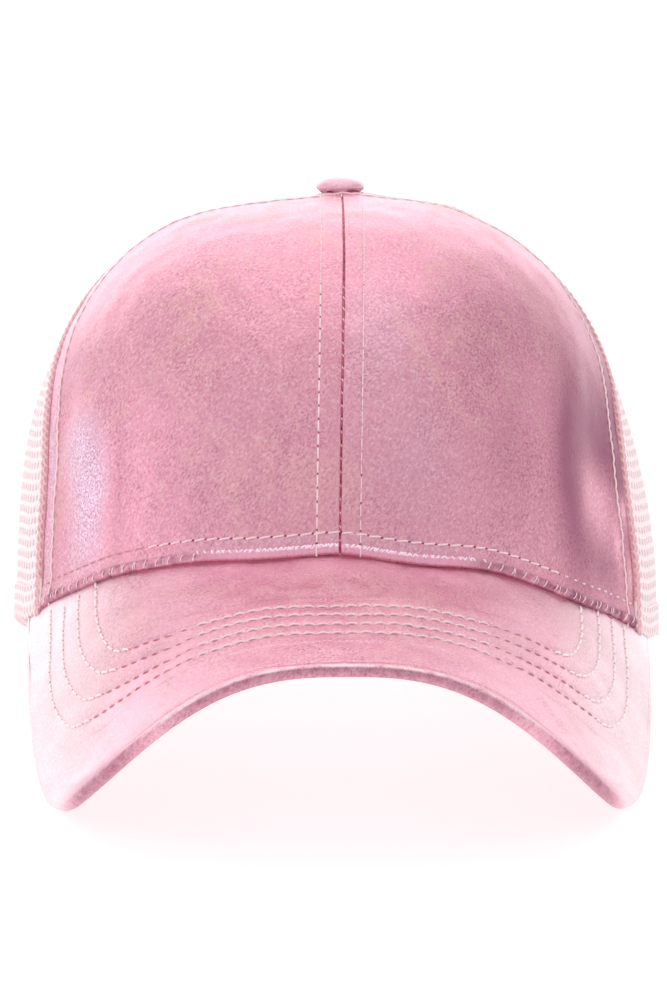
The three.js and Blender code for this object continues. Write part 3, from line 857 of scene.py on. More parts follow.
# Painted highlights and painted shade in places, as shares across and up each front panel;
# the strip beyond each side row gets its own painted light.
paintedLightSpots = {
    "stripPaintedLight": {-1: 0.75, 1: -0.35},
    "columns": ("side", "across", "climb", "width", "reach", "tone"),
    "rows": [
        (-1, 0.83, 0.22, 0.10, 0.065, 1.2),
        (-1, 0.77, 0.14, 0.08, 0.055, 1.1),
        (-1, 0.78, 0.06, 0.10, 0.05, 0.7),
        (-1, 0.66, 0.11, 0.035, 0.13, -0.45),
        (-1, 0.86, 0.36, 0.14, 0.08, -0.35),
        (-1, 0.95, 0.15, 0.06, 0.30, -0.25),
        (1, 0.71, 0.19, 0.07, 0.20, -1.05),
        (1, 0.83, 0.065, 0.08, 0.035, -0.5),
        (1, 0.97, 0.25, 0.10, 0.09, -0.6),
        (1, 0.86, 0.16, 0.15, 0.16, -0.75),
        (1, 0.85, 0.16, 0.085, 0.06, 1.2),
        (1, 0.975, 0.15, 0.02, 0.02, 1.2),
        (1, 0.93, 0.10, 0.02, 0.03, 0.9),
        (1, 0.985, 0.06, 0.02, 0.03, 1.0),
        (1, 0.85, 0.29, 0.10, 0.09, -0.5),
        (1, 0.55, 0.45, 0.30, 0.25, -0.38),
        (1, 0.50, 0.17, 0.12, 0.12, -0.3),
        (1, 1.0, 0.5, 0.25, 0.30, -0.55),
        (1, 0.10, 0.42, 0.12, 0.14, 0.35),
        (1, 0.22, 0.18, 0.16, 0.14, 0.3),
    ],
}


def paintedPanelLight(side, across, climb):
    tone = np.zeros_like(climb)
    for row in paintedLightSpots["rows"]:
        spot = dict(zip(paintedLightSpots["columns"], row))
        if spot["side"] == side:
            tone = tone + spot["tone"] * softSpot(spot, across, climb)
    return tone


# Painted light on the bead: a painted highlight on its crest near the centre, painted shade at its foot.
# Further out all of it gets painted shade.
def paintedBeadLight(base, fromRim, fromCentre):
    crest, foot, gathers, strip = (bead[part] for part in ("crest", "foot", "gathers", "strip"))
    share = fromRim / bead["width"]
    outward = smoothstep(fromCentre, bead["bright"], bead["gathered"])
    uneven = gathers["uneven"] * unevenness(base, gathers["length"], gathers["seed"])
    dark = fade(share, *gathers["fades"]) * np.clip(gathers["tone"] + uneven, gathers["least"], 1)
    row = panelMake["rimRow"]
    aboveBead = strip["tone"] * smoothstep(share, *strip["from"])
    aboveBead = aboveBead * fade(fromRim, row - strip["beforeRow"], row)
    bright = crest["tone"] * peaked(share, crest["at"], crest["width"]) + aboveBead
    return mix(bright + foot["tone"] * fade(share, *foot["fades"]), -dark, outward)


def beadBody(fromRim):
    share = fromRim / bead["width"]
    return smoothstep(share, *bead["body"]["from"]) * fade(share, *bead["body"]["fades"])


def beadRise(fromRim, fromCentre, side):
    share = fromRim / bead["width"]
    foot = np.clip(1 - share / bead["footEnds"], 0, 1)
    crest = np.clip((share - bead["crestFrom"]) / (1 - bead["crestFrom"]), 0, 1)
    swell = np.sqrt(1 - foot ** 2) * (1 - crest ** 2)
    draw = np.random.default_rng(21 + side)
    crinkle = np.zeros_like(fromRim)
    for _ in range(bead["creases"]):
        pitch = draw.uniform(*bead["creasePitch"])
        lean = draw.uniform(-bead["creaseLean"], bead["creaseLean"])
        phase = draw.uniform(0, 2 * math.pi)
        crinkle += np.sin((fromCentre + lean * fromRim) * 2 * math.pi / pitch + phase)
    return swell * (bead["proud"] + bead["crinkle"] * crinkle / math.sqrt(bead["creases"]))


leftRows = frontPanel("frontPanelLeft", 1, "front_panel_left")
rightRows = frontPanel("frontPanelRight", -1, "front_panel_right")


# The lowest row runs over the centre seam from one panel to the other.
def joinedRims():
    joined = []
    for right, left in zip(rightRows["rim"], leftRows["rim"]):
        joined.append(np.concatenate([right[:1:-1], left[2:]]))
    return tuple(joined)


print("front panels made")


# Peak: one closed plate with its stitch rows pressed in and a rolled edge band.

peakMake = {
    "columns": 320,
    "rows": 130,
    "underRows": 24,
    "edgeSteps": 18,
    "edgeSquareness": 3.2,
    "groove": 0.13,
    "grooveWidth": 0.55,
    "puff": 0.12,
    "puffFrom": (0.3, 2.2),  # away from a row of stitches
    "puffUntil": 6,
    "hem": {"depth": 0.2, "at": 1.3, "width": 0.45, "aside": (46, 60)},
    "calm": {"edge": (0, 1.2), "least": 0.2},  # the unevenness calms down at the edge
    "joinFrom": 0.9,  # the faces bend over to the rounded edge from here on
    "waves": [{"height": 0.10, "length": 11, "seed": 31}, {"height": 0.16, "length": 30, "seed": 32}],
    # A rose tint by the seam: painted light against the shade under the crown.
    "rosy": {"share": 0.55, "fromSeam": (3, 20), "aside": (30, 60)},
}
# Painted highlights and painted shade on the peak. A pair is where a change begins and ends.
peakPaintedLight = {
    "corner": {"aside": (38, 58), "ahead": (-72, -88)},
    "tip": (66, 74),
    "litSides": {"tone": 0.95, "aside": (49, 82), "edge": (0.5, 3), "cornerEdge": (2, 6)},
    "shaded": {"tone": 0.15, "aside": (28, 42), "until": (48, 60), "fromSeam": (20, 30)},
    "crease": {"tone": 0.3, "at": 1.3, "width": 0.5},
    "seam": {"tone": 0.4, "fromSeam": (2, 18), "aside": (30, 60)},
    "dark": {"tone": 0.8, "edge": (-1, 3.5)},
    "edgeFront": (38, 54),
    "edgeLine": {"at": 0.86, "width": 0.12, "least": 0.7},
    "edgeLineWaves": [{"height": 0.5, "length": 3.5, "seed": 41}, {"height": 0.3, "length": 16, "seed": 42}],
    "edgeBand": {"tone": 0.8, "from": (0.8, 0.6), "below": 0.5, "belowFrom": (-0.1, 0.6)},
    "edgeMottle": [{"height": 0.15, "length": 3, "seed": 43}],
    "edgeSides": 0.85,
}
# Stitch rows on the peak: reach at the centre line, the corner that each turns round, where it runs
# down the side, and where it passes under the crown.
stitchRows = [
    {"front": 29.1, "cornerX": 58.7, "cornerAlong": 5.2, "sideX": 63.8, "footAlong": -29},
    {"front": 34.7, "cornerX": 62.2, "cornerAlong": 7.3, "sideX": 68.6, "footAlong": -32},
    {"front": 40.7, "cornerX": 65.9, "cornerAlong": 10.0, "sideX": 72.7, "footAlong": -35},
    {"front": 46.6, "cornerX": 68.9, "cornerAlong": 13.2, "sideX": 76.3, "footAlong": -41},
]
rowShape = {
    "shift": -0.4,
    "power": 2.6,
    "bend": -20,  # the rows turn inwards from here on
    "sidePoints": 60,
    "frontPoints": 200,
    "step": 0.5,
    "softReach": 24,  # steps over which a corner is rounded
    "softWidth": 6,
}


def evenSteps(points, step):
    arcs = arcFrom(points, 0)
    wanted = np.linspace(0, arcs[-1], max(int(round(arcs[-1] / step)), 2) + 1)
    return np.stack([np.interp(wanted, arcs, points[:, k]) for k in range(points.shape[1])], -1)


# A row over the whole peak as x and distance along, from its right foot round to its left one.
def stitchRowPath(row):
    shape = rowShape
    up = np.linspace(row["footAlong"], row["cornerAlong"], shape["sidePoints"])
    lean = (np.maximum(up - shape["bend"], 0) / (row["cornerAlong"] - shape["bend"])) ** 2
    sideX = mix(row["sideX"], row["cornerX"], lean)
    x = np.linspace(-row["cornerX"], row["cornerX"], shape["frontPoints"])
    bow = (np.abs(x) / row["cornerX"]) ** shape["power"]
    across = row["front"] - (row["front"] - row["cornerAlong"]) * bow
    right = np.stack([-sideX, up], -1)
    front = np.stack([x, across], -1)[1:-1]
    left = np.stack([sideX, up], -1)[::-1]
    path = evenSteps(np.concatenate([right, front, left]), shape["step"])
    reach = shape["softReach"]
    kernel = peaked(np.arange(-reach, reach + 1), 0, shape["softWidth"])
    kernel /= kernel.sum()
    padded = np.concatenate([np.repeat(path[:1], reach, 0), path, np.repeat(path[-1:], reach, 0)])
    soft = np.stack([np.convolve(padded[:, k], kernel, "valid") for k in range(2)], -1)
    soft[:, 0] += shape["shift"]
    return soft


def peakSurface():
    make = peakMake
    share = np.linspace(-1, 1, make["columns"])
    turn = share * math.radians(peak["endTurn"])
    wallTilt = tiltAtRim(turn)
    seat = crownPoint(turn, wallTilt) - crownNormal(turn, wallTilt) * (crown["frontWall"] + crown["seamGap"])
    innerX, innerAlong = seat[:, 0], alongPeak(seat[:, 0], seat[:, 1])
    outerX, outerAlong = peakOutline(share)
    before = peakPoint(*peakOutline(np.maximum(share - smallTurn, -1)))
    after = peakPoint(*peakOutline(np.minimum(share + smallTurn, 1)))
    upward = peakNormal(outerX, outerAlong)
    outward = unit(np.cross(unit(after - before), upward))
    half = peak["thickness"] / 2
    centre = peakPoint(outerX, outerAlong) - upward * half - outward * half
    forward = np.linspace(0, 1, make["rows"])[:, None]
    x = mix(innerX, outerX, forward)
    along = mix(innerAlong, outerAlong, forward)
    top = peakPoint(x, along)
    # The last row of the skin stands above the middle of the rounded edge.
    pull = smoothstep(forward, make["joinFrom"], 1)[..., None]
    top = top + pull * (centre + upward * half - peakPoint(outerX, outerAlong))
    return top, peakNormal(x, along), centre, upward, outward, half, (innerX, innerAlong, outerX, outerAlong)


def peakPiece():
    make = peakMake
    top, normals, centre, upward, outward, half, ends = peakSurface()
    onRows = np.concatenate([peakPoint(*stitchRowPath(row).T) for row in stitchRows])
    tree = KDTree(len(onRows))
    for place in onRows:
        tree.insert(Vector(place), 0)
    tree.balance()
    flat = top.reshape(-1, 3)
    near = np.array([tree.find(Vector(place))[2] for place in flat]).reshape(top.shape[:2])
    toEdge = arcFrom(top[::-1], 0)[::-1]
    hem, calm = make["hem"], make["calm"]
    rise = -make["groove"] * peaked(near, 0, make["grooveWidth"])
    rise += make["puff"] * smoothstep(near, *make["puffFrom"]) * (near < make["puffUntil"])
    rise -= hem["depth"] * peaked(toEdge, hem["at"], hem["width"]) * fade(np.abs(top[..., 0]), *hem["aside"])
    rise += waviness(top, make["waves"])
    rise *= smoothstep(toEdge, *calm["edge"]) * (1 - calm["least"]) + calm["least"]
    top = top + normals * rise[..., None]
    power = 2 / make["edgeSquareness"]
    edge, peakEdgeLights = [], []
    for swing in np.linspace(0, math.pi, make["edgeSteps"] + 2)[1:-1]:
        rising = math.copysign(abs(math.cos(swing)) ** power, math.cos(swing))
        place = centre + upward * half * rising + outward * half * math.sin(swing) ** power
        edge.append(place)
        peakEdgeLights.append(paintedPeakEdgeLight(rising, place))
    innerX, innerAlong, outerX, outerAlong = ends
    forward = np.linspace(1, 0, make["underRows"])[:, None]
    x = mix(innerX, outerX, forward)
    along = mix(innerAlong, outerAlong, forward)
    under = peakPoint(x, along) - peakNormal(x, along) * peak["thickness"]
    pull = smoothstep(forward, make["joinFrom"], 1)[..., None]
    under = under + pull * (centre - upward * half - under[0])
    rows = np.concatenate([top, np.array(edge), under])
    count, columns = rows.shape[:2]
    faces = tubeFaces(count, columns, True)
    made = meshObject("peakCover", rows.reshape(-1, 3), faces, [finishes["peakLeather"]])
    fromSeam = arcFrom(top, 0)
    peakTopLight = paintedPeakTopLight(top, toEdge, fromSeam)
    paint(made, np.concatenate([peakTopLight, np.array(peakEdgeLights), np.zeros(under.shape[:2])]))
    # The rose tint by the seam is painted light against the shade under the crown.
    rosy = make["rosy"]["share"] * fade(fromSeam, *make["rosy"]["fromSeam"])
    rosy = rosy * fade(np.abs(top[..., 0]), *make["rosy"]["aside"])
    paint(made, np.concatenate([rosy, np.zeros((count - len(rosy), columns))]), "rosy")
    addPiece(made, "coated_leather", "peak")


# Painted light on the peak: painted highlight towards its sides and by the seam, painted shade in the
# crease that runs just inside its edge, at its corners and a little on the front further out.
def paintedPeakTopLight(top, toEdge, fromSeam):
    litSides, shaded, crease, seam, dark = (peakPaintedLight[part] for part in ("litSides", "shaded", "crease", "seam", "dark"))
    aside = np.abs(top[..., 0])
    corner = cornerShare(top)
    inside = mix(smoothstep(toEdge, *litSides["edge"]), smoothstep(toEdge, *litSides["cornerEdge"]), corner)
    tone = litSides["tone"] * smoothstep(aside, *litSides["aside"]) * np.maximum(inside, tipShare(top))
    shadedBy = shaded["tone"] * smoothstep(aside, *shaded["aside"]) * fade(aside, *shaded["until"])
    tone -= shadedBy * smoothstep(fromSeam, *shaded["fromSeam"])
    tone += seam["tone"] * fade(fromSeam, *seam["fromSeam"]) * fade(aside, *seam["aside"])
    tone -= crease["tone"] * peaked(toEdge, crease["at"], crease["width"]) * (1 - corner)
    return tone - dark["tone"] * corner * (1 - tipShare(top)) * fade(toEdge, *dark["edge"])


# How near places on the peak are to its two front corners.
def cornerShare(places):
    corner = peakPaintedLight["corner"]
    return smoothstep(np.abs(places[..., 0]), *corner["aside"]) * smoothstep(places[..., 1], *corner["ahead"])


# Past the corners the painted highlight on the edge comes back.
def tipShare(places):
    return smoothstep(np.abs(places[..., 0]), *peakPaintedLight["tip"])


# A broken painted highlight runs along the top of the edge, with a band of painted shade under it.
def paintedPeakEdgeLight(rising, places):
    line, band = peakPaintedLight["edgeLine"], peakPaintedLight["edgeBand"]
    front = fade(np.abs(places[:, 0]), *peakPaintedLight["edgeFront"])
    broken = np.clip(line["least"] + waviness(places, peakPaintedLight["edgeLineWaves"]), 0, 1)
    bright = peaked(rising, line["at"], line["width"]) * front * broken
    sides = (1 - front) * np.maximum(1 - cornerShare(places), tipShare(places))
    below = 1 - band["below"] * smoothstep(-rising, *band["belowFrom"])
    dark = mix(cornerShare(places), smoothstep(rising, *band["from"]), front) * below
    mottled = band["tone"] + waviness(places, peakPaintedLight["edgeMottle"])
    return bright + peakPaintedLight["edgeSides"] * sides - dark * mottled * (1 - bright) * (1 - sides)


def peakRowLines():
    lines = []
    for row in stitchRows:
        x, along = stitchRowPath(row).T
        places, normals = peakPoint(x, along), peakNormal(x, along)
        rise = waviness(places, peakMake["waves"]) - peakMake["groove"] / 2
        lines.append((places + normals * rise[:, None], normals))
    return lines


peakPiece()
peakRows = peakRowLines()
print("peak made")


# Net panels: six-sided gaps cut in each panel's sheet by a geometry tree.

netMake = {
    "rowPitch": 3.1,
    "columnPitch": 3.0,
    "opening": 0.60,
    "thickness": 0.9,
    "hem": 8.5,  # doubled along the rim up to this height
    "hemProud": 0.55,
    "underBinding": 4,  # how far from the arch's edge the net ends, under the binding
    "levels": 160,
    "columns": 41,
    "overhang": 0.3,  # share of a cell's pitch that may pass the panel's edge
    "smallestCell": 0.22,  # share of a whole cell's size
    "joinDistance": 1e-6,
}


def netRecipe():
    kinds = {"Opening": "NodeSocketFloat", "Thickness": "NodeSocketFloat", "Material": "NodeSocketMaterial"}
    recipe = Recipe("openNet", kinds)
    separate = {"mode": "FACES"}
    cells = {"Mesh": recipe.given("Geometry"), "Offset Scale": 0.0, "Individual": True}
    cut = recipe.node("GeometryNodeExtrudeMesh", separate, cells)
    top = Socket(recipe, cut.socket.node.outputs["Top"])
    shrunk = recipe.node("GeometryNodeScaleElements", {"domain": "FACE"}, {
        "Geometry": cut, "Selection": top, "Scale": recipe.given("Opening")})
    caps = {"Geometry": shrunk, "Selection": top}
    sheet = recipe.node("GeometryNodeDeleteGeometry", {"domain": "FACE"}, caps)
    inward = {"Mesh": sheet, "Offset Scale": recipe.given("Thickness") * -1, "Individual": False}
    thick = recipe.node("GeometryNodeExtrudeMesh", separate, inward)
    both = recipe.node("GeometryNodeJoinGeometry")
    flipped = recipe.node("GeometryNodeFlipFaces", None, {0: thick})
    for part in (sheet, flipped):
        recipe.links.new(part.socket, both.socket.node.inputs[0])
    joined = {"Geometry": both, "Distance": netMake["joinDistance"]}
    closed = recipe.node("GeometryNodeMergeByDistance", None, joined)
    return recipe.end(closed)


# The cells of a panel's net on its flat cut: u across from the middle line and v up from the rim.
def netCells(panel, fromV, untilV, shiftU, depth):
    make = netMake
    pitchU, pitchV = make["columnPitch"], make["rowPitch"]
    dense = np.linspace(0, 1, make["levels"])
    across, climb = np.meshgrid(np.linspace(0, 1, make["columns"]), dense)
    grid = panelPoint(panel, across, climb)
    widths = arcFrom(grid, 1)[:, -1]
    heights = arcFrom(grid, 0)[:, make["columns"] // 2]
    untilV = heights[-1] if untilV is None else untilV
    outline = [(0, 2), (-1, 1), (-1, -1), (0, -2), (1, -1), (1, 1)]
    corners, cells = {}, []
    reach = int(widths.max() / pitchU / 2) + 2
    for row in range(int((untilV - fromV) / pitchV) + 1):
        middleV = fromV + (row + 0.5) * pitchV
        half = np.interp(middleV, heights, widths) / 2
        for column in range(-reach, reach + 1):
            middleU = (column + (row % 2) / 2 + shiftU) * pitchU
            over = make["overhang"]
            if abs(middleU) > half + pitchU * over or middleV > untilV + pitchV * over:
                continue
            keys = [(2 * column + row % 2 + u, 3 * row + v) for u, v in outline]
            cells.append(keys)
            for key in keys:
                corners.setdefault(key, len(corners))
    keys = np.array(list(corners))
    u = (keys[:, 0] / 2 + shiftU) * pitchU
    v = np.clip(fromV + (keys[:, 1] / 3 + 0.5) * pitchV, fromV, untilV)
    climbs = np.interp(v, heights, dense)
    shares = np.clip(0.5 + u / np.interp(climbs, dense, widths), 0, 1)
    points = panelPoint(panel, shares, climbs, np.full_like(u, depth))
    faces = []
    for cell in cells:
        face = list(dict.fromkeys(corners[key] for key in cell))
        spots = points[face]
        middle = spots.mean(0)
        size = lengthOf(np.cross(spots - middle, np.roll(spots, -1, 0) - middle)).sum() / 2
        if size < make["smallestCell"] * pitchU * pitchV or inArch(middle):
            continue
        faces.append(face if panel["side"] > 0 else face[::-1])
    return points, faces


def inArch(point):
    grown = netMake["underBinding"]
    if point[1] < 0:
        return False
    reach = max(point[2] - arch["spring"], 0) / (arch["rise"] + grown)
    return math.hypot(point[0] / (arch["halfWidth"] + grown), reach) < 1


netTree = netRecipe()


def netPanel(name, start, end, side, node):
    make = netMake
    panel = {"start": seams[start], "end": seams[end], "side": side}
    points, faces = netCells(panel, 0, None, 0, 0)
    hemPoints, hemFaces = netCells(panel, 0, make["hem"], 0.5, -make["hemProud"])
    faces += [[corner + len(points) for corner in face] for face in hemFaces]
    made = meshObject(name, np.concatenate([points, hemPoints]), faces, [])
    sizes = {"Opening": make["opening"], "Thickness": make["thickness"] / 1000}
    runRecipe(made, netTree, {**sizes, "Material": finishes["netting"]})
    addPiece(made, "netting", node)


for hand, side in (("left", 1), ("right", -1)):
    netPanel("netSide" + hand.capitalize(), "frontSide", "sideBack", side, "net_side_" + hand)
    netPanel("netBack" + hand.capitalize(), "sideBack", "backCentre", side, "net_back_" + hand)
print("net panels made")


# Stitches: a geometry tree lays arched threads, or needle holes, along lines on a surface.

stitchMake = {
    "sides": 6,
    "steps": 5,
    "sink": 1.1,  # a thread's ends lie this many radii under the surface
    "columns": ("pitch", "length", "radius", "rise", "across"),
    "rows": {
        "centre": (3.5, 3.1, 0.25, 0.3, 0.0),
        "faint": (3.5, 3.1, 0.15, 0.22, 0.0),
        "side": (3.5, 4.2, 0.28, 0.25, 0.0),
        "rim": (3.6, 3.2, 0.27, 0.36, 0.4),
        "peak": (3.6, 3.3, 0.28, 0.42, 0.0),
        "peakSlant": (3.6, 2.7, 0.22, 0.28, 0.0),
        "rimDots": (3.6, 1.0, 0.27, 0.4, 0.0),
        "seam": (3.4, 2.9, 0.26, 0.2, 0.0),
        "chain": (2.5, 3.0, 0.42, 0.55, 0.7),
        "overlock": (2.8, 3.0, 0.42, 0.55, 0.6),
        "tape": (3.2, 2.6, 0.25, 0.30, 0.0),
        "tack": (3.7, 0.9, 0.16, 0.22, 1.8),
        "longTack": (8.3, 0.2, 0.13, 0.22, 1.6),
        # Short strokes that paint glints on the bead's crest.
        "glintUp": (1.25, 0.7, 0.19, 0.18, 0.9),
        "glintDown": (1.7, 0.7, 0.21, 0.2, -0.9),
        "speck": (3.4, 1.0, 0.18, 0.28, 0.5),
    },
}
# The shapes laid between the stitches of a row, where the needle went in.
holeMake = {
    "sideHole": {"length": 1.0, "radius": 0.25, "rise": 0.1},
    "hole": {"length": 0.45, "radius": 0.27, "rise": 0.0},
    "rimHole": {"length": 0.5, "radius": 0.36, "rise": 0.0},
}
stitchZones = {
    "rimSeen": (-50, 57),  # between these places the lowest row shows its thread and holes in full
    "holesUntil": 98,
    "peakFaintFrom": 36,  # away from the middle the peak's rows turn faint and then rose: painted shade
    "peakRosyFrom": 45,
    "peakTurn": 3,  # and this near the line where they turn back they take the whiter finish of the sides: painted light
    "peakSideRadius": 0.33,
    "gap": (0.2, 1.2),  # left between the pieces of a broken line
    "glintSeed": 51,
    "glintRun": (1.4, 5),
}


def stitchRecipe():
    lengths = ("Pitch", "Length", "Across", "Radius", "Rise", "Shift")
    kinds = {**dict.fromkeys(lengths, "NodeSocketFloat"), "Material": "NodeSocketMaterial"}
    recipe = Recipe("stitchRow", kinds)
    line = recipe.node("GeometryNodeMeshToCurve", None, {"Mesh": recipe.given("Geometry")})
    spaced = recipe.node("GeometryNodeResampleCurve", {"mode": "LENGTH"}, {
        "Curve": line, "Length": recipe.given("Pitch")})
    facing = recipe.node("GeometryNodeInputNamedAttribute", {"data_type": "FLOAT_VECTOR"}, {
        "Name": "surfaceNormal"})
    tangent = recipe.node("GeometryNodeInputTangent")
    turned = recipe.node("FunctionNodeAxesToRotation", {"primary_axis": "X", "secondary_axis": "Z"}, {
        "Primary Axis": tangent, "Secondary Axis": facing})
    half = recipe.given("Length") / 2
    aside = recipe.given("Across") / 2
    shift = recipe.given("Shift")
    down = recipe.given("Radius") * -stitchMake["sink"]

    def spot(x, y, z):
        return recipe.node("ShaderNodeCombineXYZ", None, {"X": x, "Y": y, "Z": z})

    arc = recipe.node("GeometryNodeCurveQuadraticBezier", None, {
        "Resolution": stitchMake["steps"],
        "Start": spot(shift - half, aside * -1, down),
        "Middle": spot(shift, 0.0, recipe.given("Rise") * 2 - down * 0.2),
        "End": spot(shift + half, aside, down),
    })
    section = recipe.node("GeometryNodeCurvePrimitiveCircle", None, {
        "Resolution": stitchMake["sides"], "Radius": recipe.given("Radius")})
    thread = recipe.node("GeometryNodeCurveToMesh", None, {
        "Curve": arc, "Profile Curve": section, "Fill Caps": True})
    laid = recipe.node("GeometryNodeInstanceOnPoints", None, {
        "Points": spaced, "Instance": thread, "Rotation": turned})
    return recipe.end(laid)


stitchTree = stitchRecipe()


def stitchSizes(kind):
    return dict(zip(stitchMake["columns"], stitchMake["rows"][kind]))


def stitchLines(name, lines, kind, material, slot, shift=0.0, shape=None):
    points, normals, edges = [], [], []
    for spots, facing in lines:
        first = len(points)
        points += toWorld(spots).tolist()
        normals += directionToWorld(facing).tolist()
        edges += [(first + k, first + k + 1) for k in range(len(spots) - 1)]
    mesh = bpy.data.meshes.new(name)
    mesh.from_pydata(points, edges, [])
    facings = mesh.attributes.new("surfaceNormal", "FLOAT_VECTOR", "POINT")
    facings.data.foreach_set("vector", np.array(normals, dtype=np.float32).ravel())
    made = addObject(name, mesh)
    sizes = {**stitchSizes(kind), **(shape or {})}
    values = {label.capitalize(): size / 1000 for label, size in sizes.items()}
    runRecipe(made, stitchTree, {**values, "Shift": shift / 1000, "Material": finishes[material]})
    addPiece(made, slot)


def holesBetween(name, lines, kind, slot, hole="hole"):
    shift = stitchSizes(kind)["pitch"] / 2
    stitchLines(name, lines, kind, "needleHole", slot, shift, {"across": 0.0, **holeMake[hole]})


# The part of a line between two places across the hat.
def partBetween(line, start, end):
    return partWhere(line, (line[0][:, 0] > start) & (line[0][:, 0] < end))


# The parts of a line below and above the height up to which needle holes show.
def lowerPart(line):
    return partWhere(line, line[0][:, 2] < stitchZones["holesUntil"])


def upperPart(line):
    return partWhere(line, line[0][:, 2] >= stitchZones["holesUntil"])


# Cuts a line into pieces of uneven length, so that the stitches on it come unevenly.
def brokenLine(line, seed, shortest, longest):
    draw = np.random.default_rng(seed)
    arcs = arcFrom(line[0], 0)
    pieces, start = [], 0.0
    while start < arcs[-1] - shortest:
        end = start + draw.uniform(shortest, longest)
        inside = (arcs >= start) & (arcs <= end)
        if inside.sum() > 2:
            pieces.append(partWhere(line, inside))
        start = end + draw.uniform(*stitchZones["gap"])
    return pieces


def frontStitches():
    slot = "coated_leather"
    both = (rightRows, leftRows)
    whole = joinedRims()
    right, left = stitchZones["rimSeen"]
    rim = [partBetween(whole, right, left)]
    beyond = crown["halfWidth"]
    stitchLines("rimRowEnd1", [partBetween(whole, -beyond, right)], "faint", "roseThread", slot)
    stitchLines("rimRowEnd2", [partBetween(whole, left, beyond)], "rimDots", "thread", slot)
    stitchLines("centreRowRight", [lowerPart(rightRows["centre"])], "centre", "thread", slot)
    stitchLines("centreRowTop", [upperPart(rightRows["centre"])], "faint", "thread", slot)
    stitchLines("centreRowLeft", [leftRows["centre"]], "faint", "thread", slot)
    holesBetween("centreRowHoles", [lowerPart(rows["centre"]) for rows in both], "centre", slot)
    stitchLines("sideRows", [rows["side"] for rows in both], "side", "thread", slot)
    stitchLines("rimRow", rim, "rim", "thread", slot)
    holesBetween("rimRowHoles", rim, "rim", slot, "rimHole")
    for kind in ("tack", "longTack"):
        stitchLines(kind + "s", [rows["gathers"] for rows in both], kind, "thread", slot)
    # Painted glints: short glowing strokes, broken unevenly, along the bead's crest.
    for number, kind in enumerate(("glintUp", "glintDown", "glintUp")):
        seed, run = stitchZones["glintSeed"] + number, stitchZones["glintRun"]
        pieces = [piece for rows in both for piece in brokenLine(rows["crest"], seed, *run)]
        stitchLines(f"{kind}s{number + 1}", pieces, kind, "crestGlint", slot)


# Painted shade: along the slanting parts of its rows the peak's thread gets fainter and rose finishes.
# Painted light: down the sides it gets the whiter, glowing overlock finish.
def peakStitches():
    parts = {"peakRows": [], "peakFaint": [], "peakSlants": [], "peakSides": []}
    for row, (spots, facing) in zip(stitchRows, peakRows):
        aside = np.abs(spots[:, 0])
        ahead = alongPeak(spots[:, 0], spots[:, 1]) > row["cornerAlong"]
        borders = [stitchZones["peakFaintFrom"], stitchZones["peakRosyFrom"]]
        zone = np.where(ahead, np.searchsorted(borders, aside), 3)
        zone[ahead & (aside > row["cornerX"] - stitchZones["peakTurn"])] = 3
        ends = np.nonzero(np.diff(zone))[0] + 1
        for part in np.split(np.arange(len(spots)), ends):
            if len(part) > 2:
                parts[list(parts)[zone[part[0]]]].append(partWhere((spots, facing), part))
    slot = "coated_leather"
    stitchLines("peakRows", parts["peakRows"], "peak", "thread", slot)
    stitchLines("peakFaint", parts["peakFaint"], "peakSlant", "chain", slot)
    stitchLines("peakSlants", parts["peakSlants"], "peakSlant", "roseThread", slot)
    thick = {"radius": stitchZones["peakSideRadius"]}
    stitchLines("peakSides", parts["peakSides"], "peak", "overlock", slot, 0.0, thick)
    shift = stitchSizes("peak")["pitch"] / 2
    stitchLines("peakHoles", parts["peakSides"], "peak", "roseThread", slot, shift, holeMake["sideHole"])


frontStitches()
peakStitches()
print("stitch rows made")


# Seams: a dark core closes each gap, and each net edge is turned into a narrow stitched band.

seamMake = {
    "coreHalf": 1.6,
    "coreThick": 0.9,
    "edgeWidth": 3.4,
    "edgeGap": 0.2,
    "leatherGap": 0.15,
    "edgeProud": 0.6,
    "edgeInside": 0.9,
    "flattens": (0.35, 0.7),  # higher up the bands lie flatter, by this share
    "flatShare": 0.8,
    "upTo": 0.985,  # share of the climb, just under the button
    "archTop": 0.25,
    "chainsAt": (0.25, 0.75),  # shares across a band
    "chainProud": 0.75,
    "overlockProud": 0.35,
    "threadSinks": 1.1,
    "threadEndsBefore": 4,  # points before the seam's top
    "centreThreadDepth": 0.3,
}
bothBands = [(-seamMake["edgeWidth"], -seamMake["edgeGap"]), (seamMake["edgeGap"], seamMake["edgeWidth"])]
netBand = [(seamMake["leatherGap"], seamMake["edgeWidth"])]
# How deep each seam's core lies, where it starts, in how many steps it rises, and the bands beside it.
seamPlans = {
    "frontCentre": {"depth": 0.4, "from": 0, "steps": 120, "core": "needleHole", "bands": []},
    "frontSide": {"depth": 0.5, "from": 0, "steps": 120, "core": "needleHole", "bands": netBand},
    "sideBack": {"depth": 0.75, "from": 0, "steps": 120, "core": "cotton", "bands": bothBands},
    "backCentre": {
        "depth": 0.75, "from": seamMake["archTop"], "steps": 90, "core": "cotton", "bands": bothBands},
}


def seamPoint(seam, side, offset, climb, depth):
    rimTurn = side * math.radians(seam["atRim"])
    tilt = mix(tiltAtRim(rimTurn), tiltAtTop(np.array(rimTurn)), climb)
    turn = side * seamTurn(seam, climb)
    turn = turn + side * offset / np.maximum(widthPerRadian(turn, tilt), crown["topHole"])
    normal = crownNormal(turn, tilt)
    point = crownPoint(turn, tilt) - normal * np.asarray(depth)[..., None]
    return footOnRim(point, turn, climb), normal


# A bar with a closed section, given as lines of points that run along it.
def sweptBar(name, lines, side, material, slot, *replaced):
    grid = np.stack(lines)
    faces = tubeFaces(*grid.shape[:2])
    if side < 0:
        faces = [face[::-1] for face in faces]
    made = meshObject(name, grid.reshape(-1, 3), faces, [finishes[material]])
    addPiece(made, slot, *replaced)


